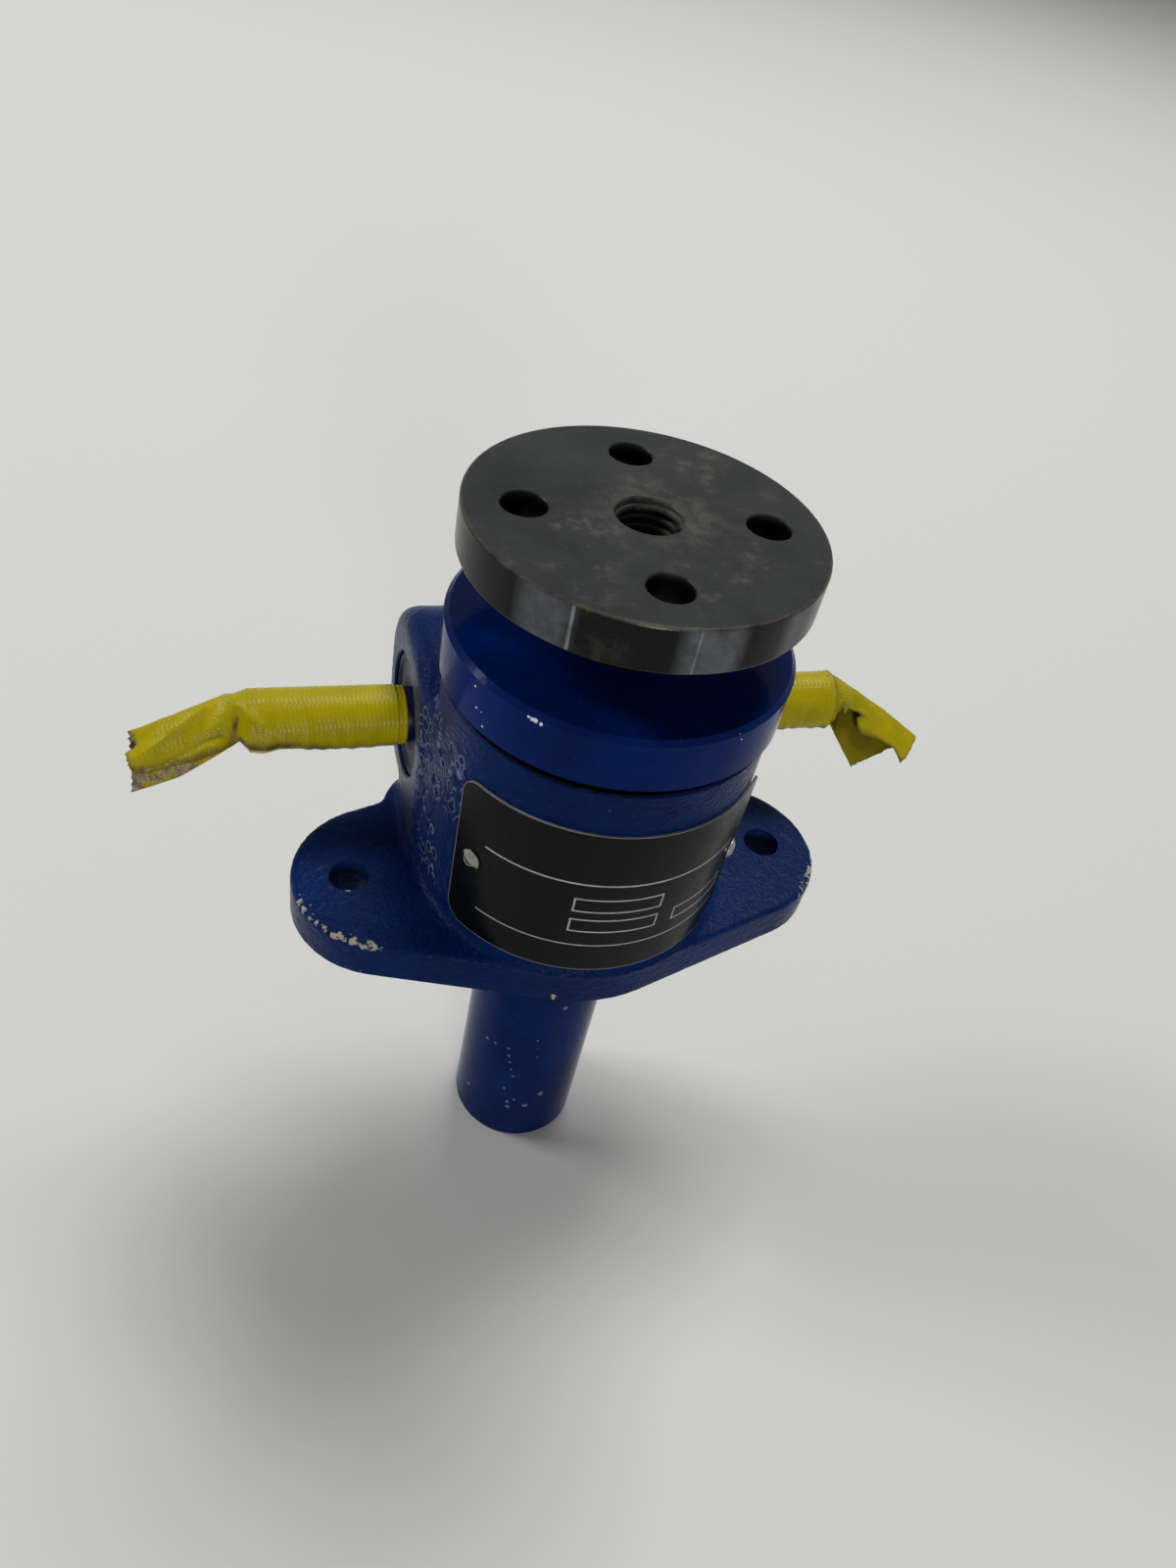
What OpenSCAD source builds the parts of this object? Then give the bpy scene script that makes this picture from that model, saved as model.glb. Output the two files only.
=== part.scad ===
// Worm screw jack with a translating screw: a worm turns a bronze wheel, the wheel is
// the nut of a lifting screw, and the screw carries a round top plate.
// Origin: centre of the base's underside, on the screw axis. +Z up the screw,
// +X along the worm shaft and the base's two bolt holes, the nameplate towards -Y.

/* [Base] */
// Overall length of the diamond base
base_len = 127; // [118:0.5:160]
// Thickness of the base
base_t = 9.5; // [7:0.5:13]
// Radius of the base's rounded ends
base_end_r = 21.5; // [16:0.5:25]
// Distance between the two base bolt holes
base_hole_span = 101.6; // [94:0.1:125]
// Diameter of the base bolt holes
base_hole_d = 8.8; // [6:0.1:12]
// Edge bevel of the base
base_bevel = 0.8; // [0.2:0.1:1.5]

/* [Gear case] */
// Outside diameter of the round gear case
body_d = 68; // [66:0.5:84]
// Height of the gear case's machined top
body_h = 64.8; // [58:0.1:80]
// Fillet where the case meets the base
case_fillet = 2.5; // [1:0.5:2.5]
// Wall left under the lower thrust bearing
floor_t = 9; // [6:0.5:14]

/* [Worm boss] */
// Centre distance between screw axis and worm axis
centre_distance = 25.4; // [23:0.1:31]
// Height of the worm axis
worm_z = 34.3; // [33:0.1:41]
// Width of the boss over its two end faces
boss_len = 72.6; // [70:0.1:88]
// Half the height and half the depth of the boss
boss_half = 22.5; // [19:0.5:27]
// Corner radius of the boss
boss_corner_r = 18; // [12:0.5:19]
// Depth of the pedestal that carries the boss, behind the worm axis
pedestal_back = 4; // [2:0.5:18]
// Radius that rounds the edges of the boss's two end faces
boss_edge_r = 4; // [1:0.5:5]
// Radius that flares the pedestal out on to the base
foot_r = 3; // [1:0.5:4]

/* [Bearing cap] */
// Diameter of the cap's flange
cap_d = 70; // [68:0.5:86]
// Thickness of the cap's flange
cap_t = 12; // [8:0.5:16]
// Gap left between cap and case
cap_gap = 0.7; // [0.2:0.1:2]
// Bevel round the cap's top edge
cap_bevel = 1; // [0.3:0.1:2]
// Diameter of the cap's threaded skirt
cap_thread_d = 58; // [52:0.5:62]

/* [Lifting screw] */
// Outside diameter of the lifting screw's thread
screw_d = 15.9; // [12:0.1:18]
// Lift of the screw
travel = 76.2; // [50:0.1:100]
// Lead of the lifting screw
screw_lead = 3.175; // [2:0.005:6]
// Diameter of the reduced end that carries the top plate
stud_d = 12.7; // [9:0.1:14]

/* [Top plate] */
// Diameter of the top plate
plate_d = 68.8; // [60:0.1:90]
// Thickness of the top plate
plate_t = 9.5; // [7:0.5:14]
// Edge bevel of the top plate
plate_bevel = 0.5; // [0.2:0.1:1.5]
// Diameter of the hub under the plate
plate_hub_d = 31.8; // [24:0.1:38]
// Height of that hub
plate_hub_h = 12; // [10:0.5:18]
// Gap between the lowered hub and the cap
plate_gap = 2.6; // [1:0.1:8]
// Bolt circle of the plate
plate_pcd = 46; // [38:0.5:56]
// Diameter of the plate's four bolt holes
plate_hole_d = 8.8; // [6:0.1:11]
// Turn of the four holes about the screw axis
plate_turn = -8.3; // [-45:0.1:45]
// Core diameter of the tapped hole in the middle
plate_tap_d = 10.8; // [7:0.1:12]

/* [Protection tube] */
// Outside diameter of the tube that hides the lowered screw
tube_d = 33.4; // [28:0.1:40]
// Wall of the tube
tube_wall = 3.4; // [2:0.1:4.5]
// Length of the tube under the base
tube_drop = 88.9; // [84:0.1:120]
// Depth of the tube's seat in the base
tube_seat = 8; // [5:0.5:9]
// Thickness of the disc that closes the tube
plug_t = 4; // [2:0.5:6]

/* [Worm and wheel] */
// Starts of the worm
worm_starts = 4; // [1:1:4]
// Teeth of the wheel
wheel_teeth = 20; // [18:1:30]
// Pitch radius of the worm
worm_pitch_r = 8.5; // [7.5:0.1:9.5]
// Length of the worm's thread
worm_len = 30; // [24:0.5:34]
// Pressure angle in the axial section
pressure_angle = 28; // [20:1:30]
// Face width of the wheel's teeth
wheel_face = 8; // [6:0.5:9]
// Play between worm thread and wheel teeth, along the worm
backlash = 0.36; // [0.24:0.01:0.5]
// Diameter of the worm shaft
shaft_d = 12.7; // [10:0.1:14]
// Reach of the worm shaft to each side of the screw axis
shaft_half = 69.85; // [60:0.05:85]

/* [Thrust bearings] */
// Bore of the thrust bearings
thrust_bore = 20; // [19:0.5:25]
// Outside diameter of the thrust bearings
thrust_od = 35; // [33:0.5:40]
// Height of a thrust bearing
thrust_h = 10; // [9:0.5:12]
// Ball diameter
thrust_ball_d = 5.56; // [4:0.01:6]
// Balls in each thrust bearing
thrust_balls = 12; // [8:1:14]

/* [Worm bearings] */
// Outside diameter of the worm bearings
race_od = 28.6; // [26:0.1:32]
// Width of a worm bearing
race_w = 7.94; // [6:0.01:9]
// Ball diameter
race_ball_d = 4.76; // [3.5:0.01:5]
// Balls in each worm bearing
race_balls = 8; // [6:1:9]
// Width of the shaft seals
seal_w = 6; // [4:0.5:7]
// Depth of a seal below the boss's end face
seal_inset = 0.8; // [0.2:0.1:2]
// Thickness of the retaining rings
ring_t = 1.1; // [0.8:0.1:1.6]

/* [Nameplate] */
// Length of the nameplate round the case
name_len = 75.2; // [50:0.1:85]
// Height of the nameplate
name_h = 40.8; // [30:0.1:44]
// Height of the nameplate's lower edge
name_z = 12.2; // [11:0.1:18]
// Thickness of the nameplate
name_t = 0.5; // [0.3:0.1:1]
// Corner radius of the nameplate
name_r = 4.5; // [1:0.5:6]
// Direction in which the nameplate's middle faces
name_angle = -92.9; // [-110:0.1:-70]
// Distance between the rivets round the case
rivet_span = 64.8; // [40:0.1:75]
// Diameter of a rivet's head
rivet_d = 4.8; // [3:0.1:6]

/* [Shaft tape] */
// Thickness of the tape wound on the shaft ends
tape_t = 0.4; // [0.3:0.05:1]
// Length of the flattened tape beyond a shaft end
tape_tail = 25; // [10:0.5:35]
// Width of the flattened tape's tip
tape_tip_w = 13; // [10:0.5:18]
// Sideways sag of the left tape's tip from the worm axis
left_sag = 8; // [0:0.5:12]
// Sideways sag of the right tape's tip from the worm axis
right_sag = 11.5; // [0:0.5:12]
// Length of the first turn of tape, next to the boss, that the later turns leave bare
tape_lap = 1.8; // [1:0.1:4]

/* [Fits] */
// Radial clearance of turning and sliding fits
run_clear = 0.05; // [0.02:0.01:0.1]
// Radial gap left at pressed and screwed joints
seat_clear = 0.02; // [0:0.01:0.05]
// Clearance round a bearing's balls
ball_clear = 0.07; // [0.03:0.01:0.1]
// Smoothness of round faces
$fn = 96; // [48:8:160]

/* [Hidden] */

LEFT = -1;
RIGHT = 1;
eps = 0.01; // overshoot of a cut past the face that it opens

// Base outline: a circle round the case and one at each end, joined by tangents.
body_r = body_d / 2;
end_x = base_len / 2 - base_end_r;
tangent_a = asin((body_r - base_end_r) / end_x);

// Gearing. The worm's axial section is a rack, and every slice of the wheel is cut to
// mesh with the rack that the worm shows at that height.
wheel_pitch_r = centre_distance - worm_pitch_r;
gear_module = 2 * wheel_pitch_r / wheel_teeth;
worm_lead = worm_starts * PI * gear_module;
addendum = 0.85 * gear_module;
dedendum = 1.05 * gear_module;
worm_tip_r = worm_pitch_r + addendum;
worm_root_r = worm_pitch_r - dedendum;
tip_clear = dedendum - addendum;
wheel_tip_r = wheel_pitch_r + addendum;
wheel_outer_r = wheel_outer(wheel_face / 2);
worm_runout = 2; // length over which the thread fades out at each end
flank_steps = 3; // parts into which a tooth's flank is divided

// Stack of the wheel and its thrust bearings on the screw axis
wheel_rim_h = 14;
wheel_top = worm_z + wheel_rim_h / 2;
wheel_bottom = worm_z - wheel_rim_h / 2;
thrust_top = wheel_top + thrust_h;
thrust_bottom = wheel_bottom - thrust_h;
washer_t = (thrust_h - 0.65 * thrust_ball_d) / 2;
thrust_ball_ring_r = (thrust_bore + thrust_od) / 4;
thrust_recess = 2;
wheel_hub_r = thrust_bore / 2 - seat_clear;
hub_overhang = 1.2; // the hub ends this far short of a bearing's outer face
nut_r = screw_d / 2 + run_clear;

// Bores of the case
cavity_r = max(wheel_outer_r + 2, thrust_od / 2 + 2);
cap_bore_r = cap_thread_d / 2 + seat_clear;
skirt_bottom = thrust_top - thrust_recess;
cap_bore_bottom = skirt_bottom - 0.6;
case_bore_r = wheel_hub_r + 0.6;
bushing_wall = 2.6;
bushing_r = screw_d / 2 + bushing_wall;

// Cap and what sits in it
cap_bottom = body_h + cap_gap;
cap_top = cap_bottom + cap_t;
relief_h = cap_gap + 1;
wiper_r = plate_hub_d / 2 - 1.5;
wiper_h = 5;
wiper_z = cap_top - wiper_h - 1;
cap_bushing_top = wiper_z - 1;
cap_bushing_bottom = thrust_top + 2;

// Lifting screw and top plate, lowered
plate_hub_bottom = cap_top + plate_gap;
plate_bottom = plate_hub_bottom + plate_hub_h;
plate_top = plate_bottom + plate_t;
stop_t = 6;
stop_r = tube_d / 2 - tube_wall - 1.3;
stop_top = tube_seat - travel - 0.8;
screw_bottom = stop_top - stop_t - 2;
set_screw_z = plate_hub_bottom + plate_hub_h / 2;
set_screw_angle = 60;
set_screw_r = 2.4;
stud_h = plate_hub_h - 0.6;
pin_r = 1.5;

// Worm shaft, from the boss's end face inwards
boss_x = boss_len / 2;
seal_out = boss_x - seal_inset;
ring_out = seal_out - seal_w - 0.3;
race_out = ring_out - ring_t - 0.1;
race_in = race_out - race_w;
shoulder_r = shaft_d / 2 + 1.3;
worm_passage_r = worm_tip_r + 2.2;
seal_bore_r = race_od / 2 + seat_clear;
ring_groove_r = race_od / 2 + 0.75;
key_w = 3.2;
key_len = 18;
race_ball_ring_r = (race_od + shaft_d) / 4;

// Tape and nameplate
tape_in = boss_x + 0.8;
tape_r = shaft_d / 2 + run_clear + tape_t;
tape_flat = 2.4;
name_in_r = body_r + 0.05;
name_sweep = name_len / name_in_r * 180 / PI;
rivet_sweep = rivet_span / name_in_r * 180 / PI;
rivet_shank_r = 0.3 * rivet_d;
rivet_hole = 6;
rivet_z = name_z + name_h / 2 + 0.5;

// Small screws
lock_d = 4.8;
lock_len = 4.4;
lock_z = body_h - 4.6;
lock_angles = [58, 122];
fitting_thread_r = 2.4;
fitting_depth = 6;

// ---------------------------------------------------------------- outlines

// Arc of n steps round a centre on X, each point as [angle, radius] from the origin
function arc_points(centre_x, r, from, to, n) =
    [for (k = [0:n])
        let (a = from + (to - from) * k / n, p = [centre_x + r * cos(a), r * sin(a)])
            [atan2(p[1], p[0]), norm(p)]];

// Clockwise outline of the base, drawn in by the inset
function base_outline(inset) =
    let (half = 90 - tangent_a, end_r = base_end_r - inset, side_r = body_r + 0.05 - inset)
        concat(
            arc_points(end_x, end_r, half, -half, 24),
            arc_points(0, side_r, -half, half - 180, 8),
            arc_points(-end_x, end_r, half - 180, -180 - half, 24),
            arc_points(0, side_r, -180 - half, half - 360, 8)
        );

// Clockwise rounded rectangle: half sizes to the corners' centres, and their radius
function rounded_box(half_x, half_y, r) =
    [for (q = [0:3], k = [0:8])
        let (
            middle = 45 - 90 * q,
            a = middle + 45 - 90 * k / 8,
            x = half_x * sign(cos(middle)) + r * cos(a),
            y = half_y * sign(sin(middle)) + r * sin(a)
        )
            [atan2(y, x), norm([x, y])]];

// ---------------------------------------------------------------- gearing

// Half the axial thickness of the worm's thread at radius r
function thread_half(r) =
    PI * gear_module / 4 - backlash / 4 - (r - worm_pitch_r) * tan(pressure_angle);

// Outer and root radius of the wheel in the slice at height z from its middle
function wheel_outer(z) = min(
    wheel_tip_r + 0.4 * gear_module,
    centre_distance - sqrt(pow(centre_distance - wheel_tip_r, 2) - z * z)
);
function wheel_root(z) =
    centre_distance - sqrt(pow(worm_tip_r + tip_clear, 2) - z * z);

// Slope of the rack's flank in the slice at height z, at depth u from the worm axis
function rack_slope(u, z, side) =
    side * tan(pressure_angle) * u / norm([u, z]) - worm_lead * z / (2 * PI * (u * u + z * z));

// Point of the wheel's flank that the rack's point at depth u cuts, as [angle, radius]
function flank_point(u, z, side) =
    let (
        rack_x = side * (thread_half(norm([u, z])) + backlash / 2)
            - worm_lead * atan2(z, u) / 360,
        y = centre_distance - u,
        x = (wheel_pitch_r - y) / rack_slope(u, z, side),
        turn = (rack_x - x) / wheel_pitch_r * 180 / PI
    )
    [atan2(y, x) - turn, norm([x, y])];

// Depth at which the flank reaches radius r, by halving the interval [lo, hi]
function flank_depth(r, z, side, lo, hi, n = 18) =
    n == 0 ? (lo + hi) / 2
    : let (mid = (lo + hi) / 2)
        flank_point(mid, z, side)[1] > r
            ? flank_depth(r, z, side, mid, hi, n - 1)
            : flank_depth(r, z, side, lo, mid, n - 1);

// One flank in a slice, from the root to the outer radius
function flank(z, side) =
    let (
        u_root = flank_depth(wheel_root(z), z, side, worm_root_r * 0.7, worm_tip_r + tip_clear),
        u_tip = flank_depth(wheel_outer(z), z, side, worm_root_r * 0.7, worm_tip_r + tip_clear)
    )
    [for (k = [0:flank_steps]) flank_point(u_root + (u_tip - u_root) * k / flank_steps, z, side)];

// Outline of the toothed wheel in a slice, clockwise: up one flank of each tooth and
// down the other, as [angle, radius]
function wheel_slice(z) =
    let (
        pitch = 360 / wheel_teeth,
        up = flank(z, 1),
        down = flank(z, -1)
    )
    [for (i = [0:wheel_teeth - 1])
        each concat(
            [for (k = [0:flank_steps]) [up[k][0] - i * pitch, up[k][1]]],
            [for (k = [flank_steps:-1:0]) [down[k][0] - (i + 1) * pitch, down[k][1]]],
            [[(up[0][0] + down[0][0]) / 2 - (i + 1) * pitch, wheel_root(z)]]
        )];

// Cross-section of the worm at distance x from its middle, clockwise, as [angle, radius]
function worm_slice(x) =
    let (
        ramp = min(1, (worm_len / 2 - abs(x)) / worm_runout + 0.03),
        tip = worm_root_r + (worm_tip_r - worm_root_r) * ramp,
        side = [for (k = [0:2]) worm_root_r + (tip - worm_root_r) * k / 2]
    )
    [for (j = [0:worm_starts - 1])
        let (middle = 360 * x / worm_lead - 360 / worm_starts * j - 90)
            each concat(
                [for (r = side) [middle + 360 * thread_half(r) / worm_lead, r]],
                [[middle, tip]],
                [for (k = [2:-1:0]) [middle - 360 * thread_half(side[k]) / worm_lead, side[k]]]
            )];

// Solid through a stack of clockwise outlines with equal numbers of points, each given
// as [angle, radius]. Both ends are closed by a fan round a point on the axis.
module skin(slices, heights) {
    n = len(slices[0]);
    top = (len(slices) - 1) * n;
    hub = len(slices) * n;
    polyhedron(
        points = concat(
            [for (k = [0:len(slices) - 1]) each
                [for (p = slices[k]) [p[1] * cos(p[0]), p[1] * sin(p[0]), heights[k]]]],
            [[0, 0, heights[0]], [0, 0, heights[len(slices) - 1]]]
        ),
        faces = concat(
            [for (i = [0:n - 1]) [hub, (i + 1) % n, i]],
            [for (k = [0:len(slices) - 2], i = [0:n - 1])
                let (a = k * n + i, b = k * n + (i + 1) % n)
                    each [[a, b, b + n], [a, b + n, a + n]]],
            [for (i = [0:n - 1]) [hub + 1, top + i, top + (i + 1) % n]]
        ),
        convexity = 10
    );
}

// ---------------------------------------------------------------- building blocks

// Ring or tube with its axis on Z
module ring(outer, inner, z0, z1) {
    translate([0, 0, z0]) difference() {
        cylinder(r = outer, h = z1 - z0);
        translate([0, 0, -1]) cylinder(r = inner, h = z1 - z0 + 2);
    }
}

// Bore from z0 to z1
module bore(r, z0, z1) {
    translate([0, 0, z0]) cylinder(r = r, h = z1 - z0);
}

// Disc with its upper edge bevelled, and its lower edge as well if asked for
module bevelled_disc(r, h, bevel, below = 0) {
    rotate_extrude() polygon([
        [0, 0], [r - below, 0], [r, below], [r, h - bevel], [r - bevel, h], [0, h],
    ]);
}

// Bevelled mouth of a hole, opening upwards at z = 0
module countersink(r, bevel) {
    translate([0, 0, -bevel]) cylinder(r1 = r, r2 = r + bevel + eps, h = bevel + eps);
}

// Puts its children, built along +Z, on the worm axis, pointing out of the boss
module on_worm(side) {
    translate([0, centre_distance, worm_z]) rotate([0, 90 * side, 0]) children();
}

// Puts its children, built along +Z, on a radius of the screw axis, pointing outwards
module on_radius(angle, z) {
    translate([0, 0, z]) rotate([0, 90, angle]) children();
}

// Grub screw along Z with a hexagon socket in its upper end
module grub_screw(r, length) {
    difference() {
        bevelled_disc(r, length, 0.3, 0.5);
        translate([0, 0, length - 1.8]) cylinder(r = r * 0.55, h = 2, $fn = 6);
    }
}

// ---------------------------------------------------------------- case

// Diamond-shaped base with bevelled edges
module base_plate() {
    skin(
        [base_outline(base_bevel), base_outline(0), base_outline(0), base_outline(base_bevel)],
        [0, base_bevel, base_t - base_bevel, base_t]
    );
}

// Fillet between the round case and the base, kept inside the base's outline
module case_root() {
    root_h = base_t + case_fillet;
    intersection() {
        rotate_extrude() difference() {
            square([body_r + case_fillet, root_h]);
            translate([body_r + case_fillet, root_h]) circle(r = case_fillet);
        }
        linear_extrude(height = root_h) polygon([
            for (p = base_outline(base_bevel)) p[1] * [cos(p[0]), sin(p[0])],
        ]);
    }
}

// Boss round the worm: a rounded square seen from its end, with both end edges rounded
module worm_boss() {
    flat = boss_half - boss_corner_r;
    turns = [for (k = [0:5]) 18 * k];
    ends = [for (t = turns) rounded_box(flat, flat, boss_corner_r - boss_edge_r * (1 - sin(t)))];
    drops = [for (t = turns) boss_edge_r * (1 - cos(t))];
    on_worm(RIGHT) skin(
        concat(ends, [for (k = [5:-1:0]) ends[k]]),
        concat([for (d = drops) d - boss_x], [for (k = [5:-1:0]) boss_x - drops[k]])
    );
}

// Pedestal from the base up into the boss, narrower than the boss and flared at its foot
module pedestal() {
    depth = boss_half + pedestal_back - 0.5;
    turns = [for (k = [0:5]) 18 * k];
    spread = concat([foot_r], [for (t = turns) foot_r * (1 - sin(t))], [0]);
    translate([0, centre_distance + pedestal_back - depth / 2, 0]) skin(
        [for (d = spread)
            rounded_box(boss_x - boss_edge_r, depth / 2 - boss_edge_r, boss_edge_r + d)],
        concat([0], [for (t = turns) base_t + foot_r * (1 - cos(t))], [worm_z])
    );
}

// Everything that the worm and its bearings need bored through the boss
module worm_bores() {
    for (side = [LEFT, RIGHT]) on_worm(side) {
        bore(worm_passage_r, -1, race_in + eps);
        bore(seal_bore_r, race_in, boss_x + 1);
        bore(ring_groove_r, race_out + 0.05, ring_out + 0.05);
        translate([0, 0, boss_x]) countersink(seal_bore_r, 0.4);
    }
}

module housing() color("mediumblue") {
    difference() {
        union() {
            base_plate();
            translate([0, 0, base_t / 2]) bevelled_disc(body_r, body_h - base_t / 2, 0.5);
            case_root();
            worm_boss();
            pedestal();
        }
        // seat of the tube, seat of the lower bushing and seat of the lower bearing
        bore(tube_d / 2 + seat_clear, -1, tube_seat);
        bore(bushing_r + seat_clear, tube_seat - eps, thrust_bottom + eps);
        bore(thrust_od / 2 + seat_clear, thrust_bottom, thrust_bottom + washer_t + eps);
        // room for the wheel, and the tapped mouth that takes the cap
        bore(cavity_r, thrust_bottom + washer_t, cap_bore_bottom + eps);
        bore(cap_bore_r, cap_bore_bottom, body_h + 1);
        translate([0, 0, body_h]) countersink(cap_bore_r, 0.5);
        worm_bores();
        for (side = [LEFT, RIGHT]) translate([side * base_hole_span / 2, 0, 0]) {
            bore(base_hole_d / 2, -1, base_t + 1);
            translate([0, 0, base_t]) countersink(base_hole_d / 2, 0.3);
        }
        for (a = lock_angles) on_radius(a, lock_z)
            bore(lock_d / 2 + seat_clear, cap_bore_r - 1, body_r + 1);
        for (side = [-1, 1]) on_radius(name_angle + side * rivet_sweep / 2, rivet_z)
            bore(rivet_shank_r + seat_clear, body_r - rivet_hole, body_r + 1);
        // tapped hole of the grease fitting and its passage to the worm
        translate([0, centre_distance, worm_z]) rotate([-90, 0, 0]) {
            bore(fitting_thread_r + seat_clear, boss_half - fitting_depth - 1, boss_half + 1);
            bore(1.2, 0, boss_half);
        }
    }
}

module bearing_cap() color("navy") {
    difference() {
        union() {
            translate([0, 0, cap_bottom]) bevelled_disc(cap_d / 2, cap_t, cap_bevel, 0.3);
            bore(cap_thread_d / 2 - 0.7, body_h - relief_h, cap_bottom + 1);
            translate([0, 0, skirt_bottom])
                bevelled_disc(cap_thread_d / 2, body_h - relief_h - skirt_bottom, 0.4, 0.6);
        }
        bore(thrust_od / 2 + seat_clear, skirt_bottom - 1, thrust_top);
        bore(case_bore_r, thrust_top - eps, cap_bushing_bottom + eps);
        bore(bushing_r + seat_clear, cap_bushing_bottom, wiper_z + eps);
        bore(wiper_r + seat_clear, wiper_z, cap_top + 1);
        translate([0, 0, cap_top]) countersink(wiper_r + seat_clear, 0.4);
    }
}

module cap_lock_screws() color("dimgray") {
    for (a = lock_angles) on_radius(a, lock_z)
        translate([0, 0, cap_thread_d / 2 + 0.1]) grub_screw(lock_d / 2, lock_len);
}

// Plain bushing that guides the lifting screw
module screw_bushing(z0, z1) {
    translate([0, 0, z0]) difference() {
        bevelled_disc(bushing_r, z1 - z0, 0.5, 0.5);
        bore(nut_r, -1, z1 - z0 + 1);
        translate([0, 0, z1 - z0]) countersink(nut_r, 0.4);
    }
}

module cap_bushing() color("peru") {
    screw_bushing(cap_bushing_bottom + 0.1, cap_bushing_top);
}

module lower_bushing() color("peru") {
    screw_bushing(tube_seat + 0.3, thrust_bottom - 0.5);
}

// Wiper: a stiff back and a lip that leans against the screw
module screw_wiper() color("saddlebrown") {
    rotate_extrude() polygon([
        [nut_r + 1.6, wiper_z + 0.1], [wiper_r, wiper_z + 0.1], [wiper_r, wiper_z + wiper_h],
        [nut_r, wiper_z + wiper_h], [nut_r, wiper_z + wiper_h - 1.4],
    ]);
}

module protection_tube() color("royalblue") {
    difference() {
        translate([0, 0, -tube_drop])
            bevelled_disc(tube_d / 2, tube_drop + tube_seat - 0.1, 0.4, 0.5);
        bore(tube_d / 2 - tube_wall, -tube_drop - 1, tube_seat + 1);
    }
}

module tube_plug() color("midnightblue") {
    translate([0, 0, -tube_drop + 0.6])
        bevelled_disc(tube_d / 2 - tube_wall - seat_clear, plug_t, 0.3, 0.3);
}

// Cuts one corner of the nameplate round, on the side and at the height given by signs
module name_corner(side, up) {
    corner_a = name_r / name_in_r * 180 / PI;
    on_radius(name_angle + side * (name_sweep / 2 - corner_a), name_z + name_h / 2
        + up * (name_h / 2 - name_r))
        scale([-up, side, 1]) difference() {
            translate([0, 0, body_r - 2]) cube([name_r + 1, name_r + 1, 6]);
            translate([0, 0, body_r - 3]) cylinder(r = name_r + 0.05, h = 8);
        }
}

module nameplate() color("black") {
    difference() {
        rotate([0, 0, name_angle - name_sweep / 2]) rotate_extrude(angle = name_sweep)
            translate([name_in_r, name_z]) square([name_t, name_h]);
        for (side = [-1, 1]) {
            for (up = [-1, 1]) name_corner(side, up);
            on_radius(name_angle + side * rivet_sweep / 2, rivet_z)
                bore(rivet_shank_r + seat_clear, body_r - 1, body_r + 3);
        }
    }
}

module nameplate_rivets() color("silver") {
    face = name_in_r + name_t;
    for (side = [-1, 1]) on_radius(name_angle + side * rivet_sweep / 2, rivet_z)
        rotate_extrude() polygon([
            [0, body_r - rivet_hole + 0.3], [rivet_shank_r, body_r - rivet_hole + 0.3],
            [rivet_shank_r, face + 0.12], [rivet_d / 2, face + 0.12], [rivet_d / 2, face + 0.5],
            [rivet_d / 2 - 0.9, face + 1.3], [0, face + 1.3],
        ]);
}

module grease_fitting() color("darkgray") {
    translate([0, centre_distance + boss_half, worm_z]) rotate([-90, 0, 0]) {
        difference() {
            union() {
                bore(fitting_thread_r, -fitting_depth, 0.5);
                bore(3.6, 0.1, 3.1, $fn = 6);
                rotate_extrude() polygon([
                    [0, 3], [1.7, 3], [1.7, 4.4], [1.3, 5.2], [2.2, 6.4], [1.8, 7.9], [0, 7.9],
                ]);
            }
            bore(0.6, -fitting_depth - 1, 9);
        }
    }
}

// ---------------------------------------------------------------- thrust bearings

// Thrust washer from z0 to z1, its ball groove round the circle at height groove_z
module thrust_washer(outer, inner, z0, z1, groove_z) {
    difference() {
        ring(outer, inner, z0, z1);
        translate([0, 0, groove_z]) rotate_extrude()
            translate([thrust_ball_ring_r, 0]) circle(r = thrust_ball_d / 2 + ball_clear);
    }
}

module case_washer(z0, groove_z) {
    thrust_washer(thrust_od / 2, wheel_hub_r + 0.6, z0, z0 + washer_t, groove_z);
}

module wheel_washer(z0, groove_z) {
    thrust_washer(thrust_od / 2 - 0.3, thrust_bore / 2, z0, z0 + washer_t, groove_z);
}

module thrust_cage(z) {
    pocket_r = thrust_ball_d / 2 + ball_clear;
    wall = 0.5;
    difference() {
        ring(thrust_ball_ring_r + pocket_r + wall, thrust_ball_ring_r - pocket_r - wall,
            z - 1, z + 1);
        for (i = [0:thrust_balls - 1]) rotate([0, 0, 360 / thrust_balls * i])
            translate([thrust_ball_ring_r, 0, z - 2]) cylinder(r = pocket_r, h = 4, $fn = 32);
    }
}

module thrust_ball_set(z) {
    for (i = [0:thrust_balls - 1]) rotate([0, 0, 360 / thrust_balls * i])
        translate([thrust_ball_ring_r, 0, z]) sphere(r = thrust_ball_d / 2, $fn = 32);
}

module upper_case_washer() color("gainsboro") {
    case_washer(thrust_top - washer_t, wheel_top + thrust_h / 2);
}

module upper_wheel_washer() color("gainsboro") {
    wheel_washer(wheel_top, wheel_top + thrust_h / 2);
}

module upper_thrust_cage() color("goldenrod") {
    thrust_cage(wheel_top + thrust_h / 2);
}

module upper_thrust_balls() color("silver") {
    thrust_ball_set(wheel_top + thrust_h / 2);
}

module lower_case_washer() color("gainsboro") {
    case_washer(thrust_bottom, wheel_bottom - thrust_h / 2);
}

module lower_wheel_washer() color("gainsboro") {
    wheel_washer(wheel_bottom - washer_t, wheel_bottom - thrust_h / 2);
}

module lower_thrust_cage() color("goldenrod") {
    thrust_cage(wheel_bottom - thrust_h / 2);
}

module lower_thrust_balls() color("silver") {
    thrust_ball_set(wheel_bottom - thrust_h / 2);
}

// ---------------------------------------------------------------- worm and wheel

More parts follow.
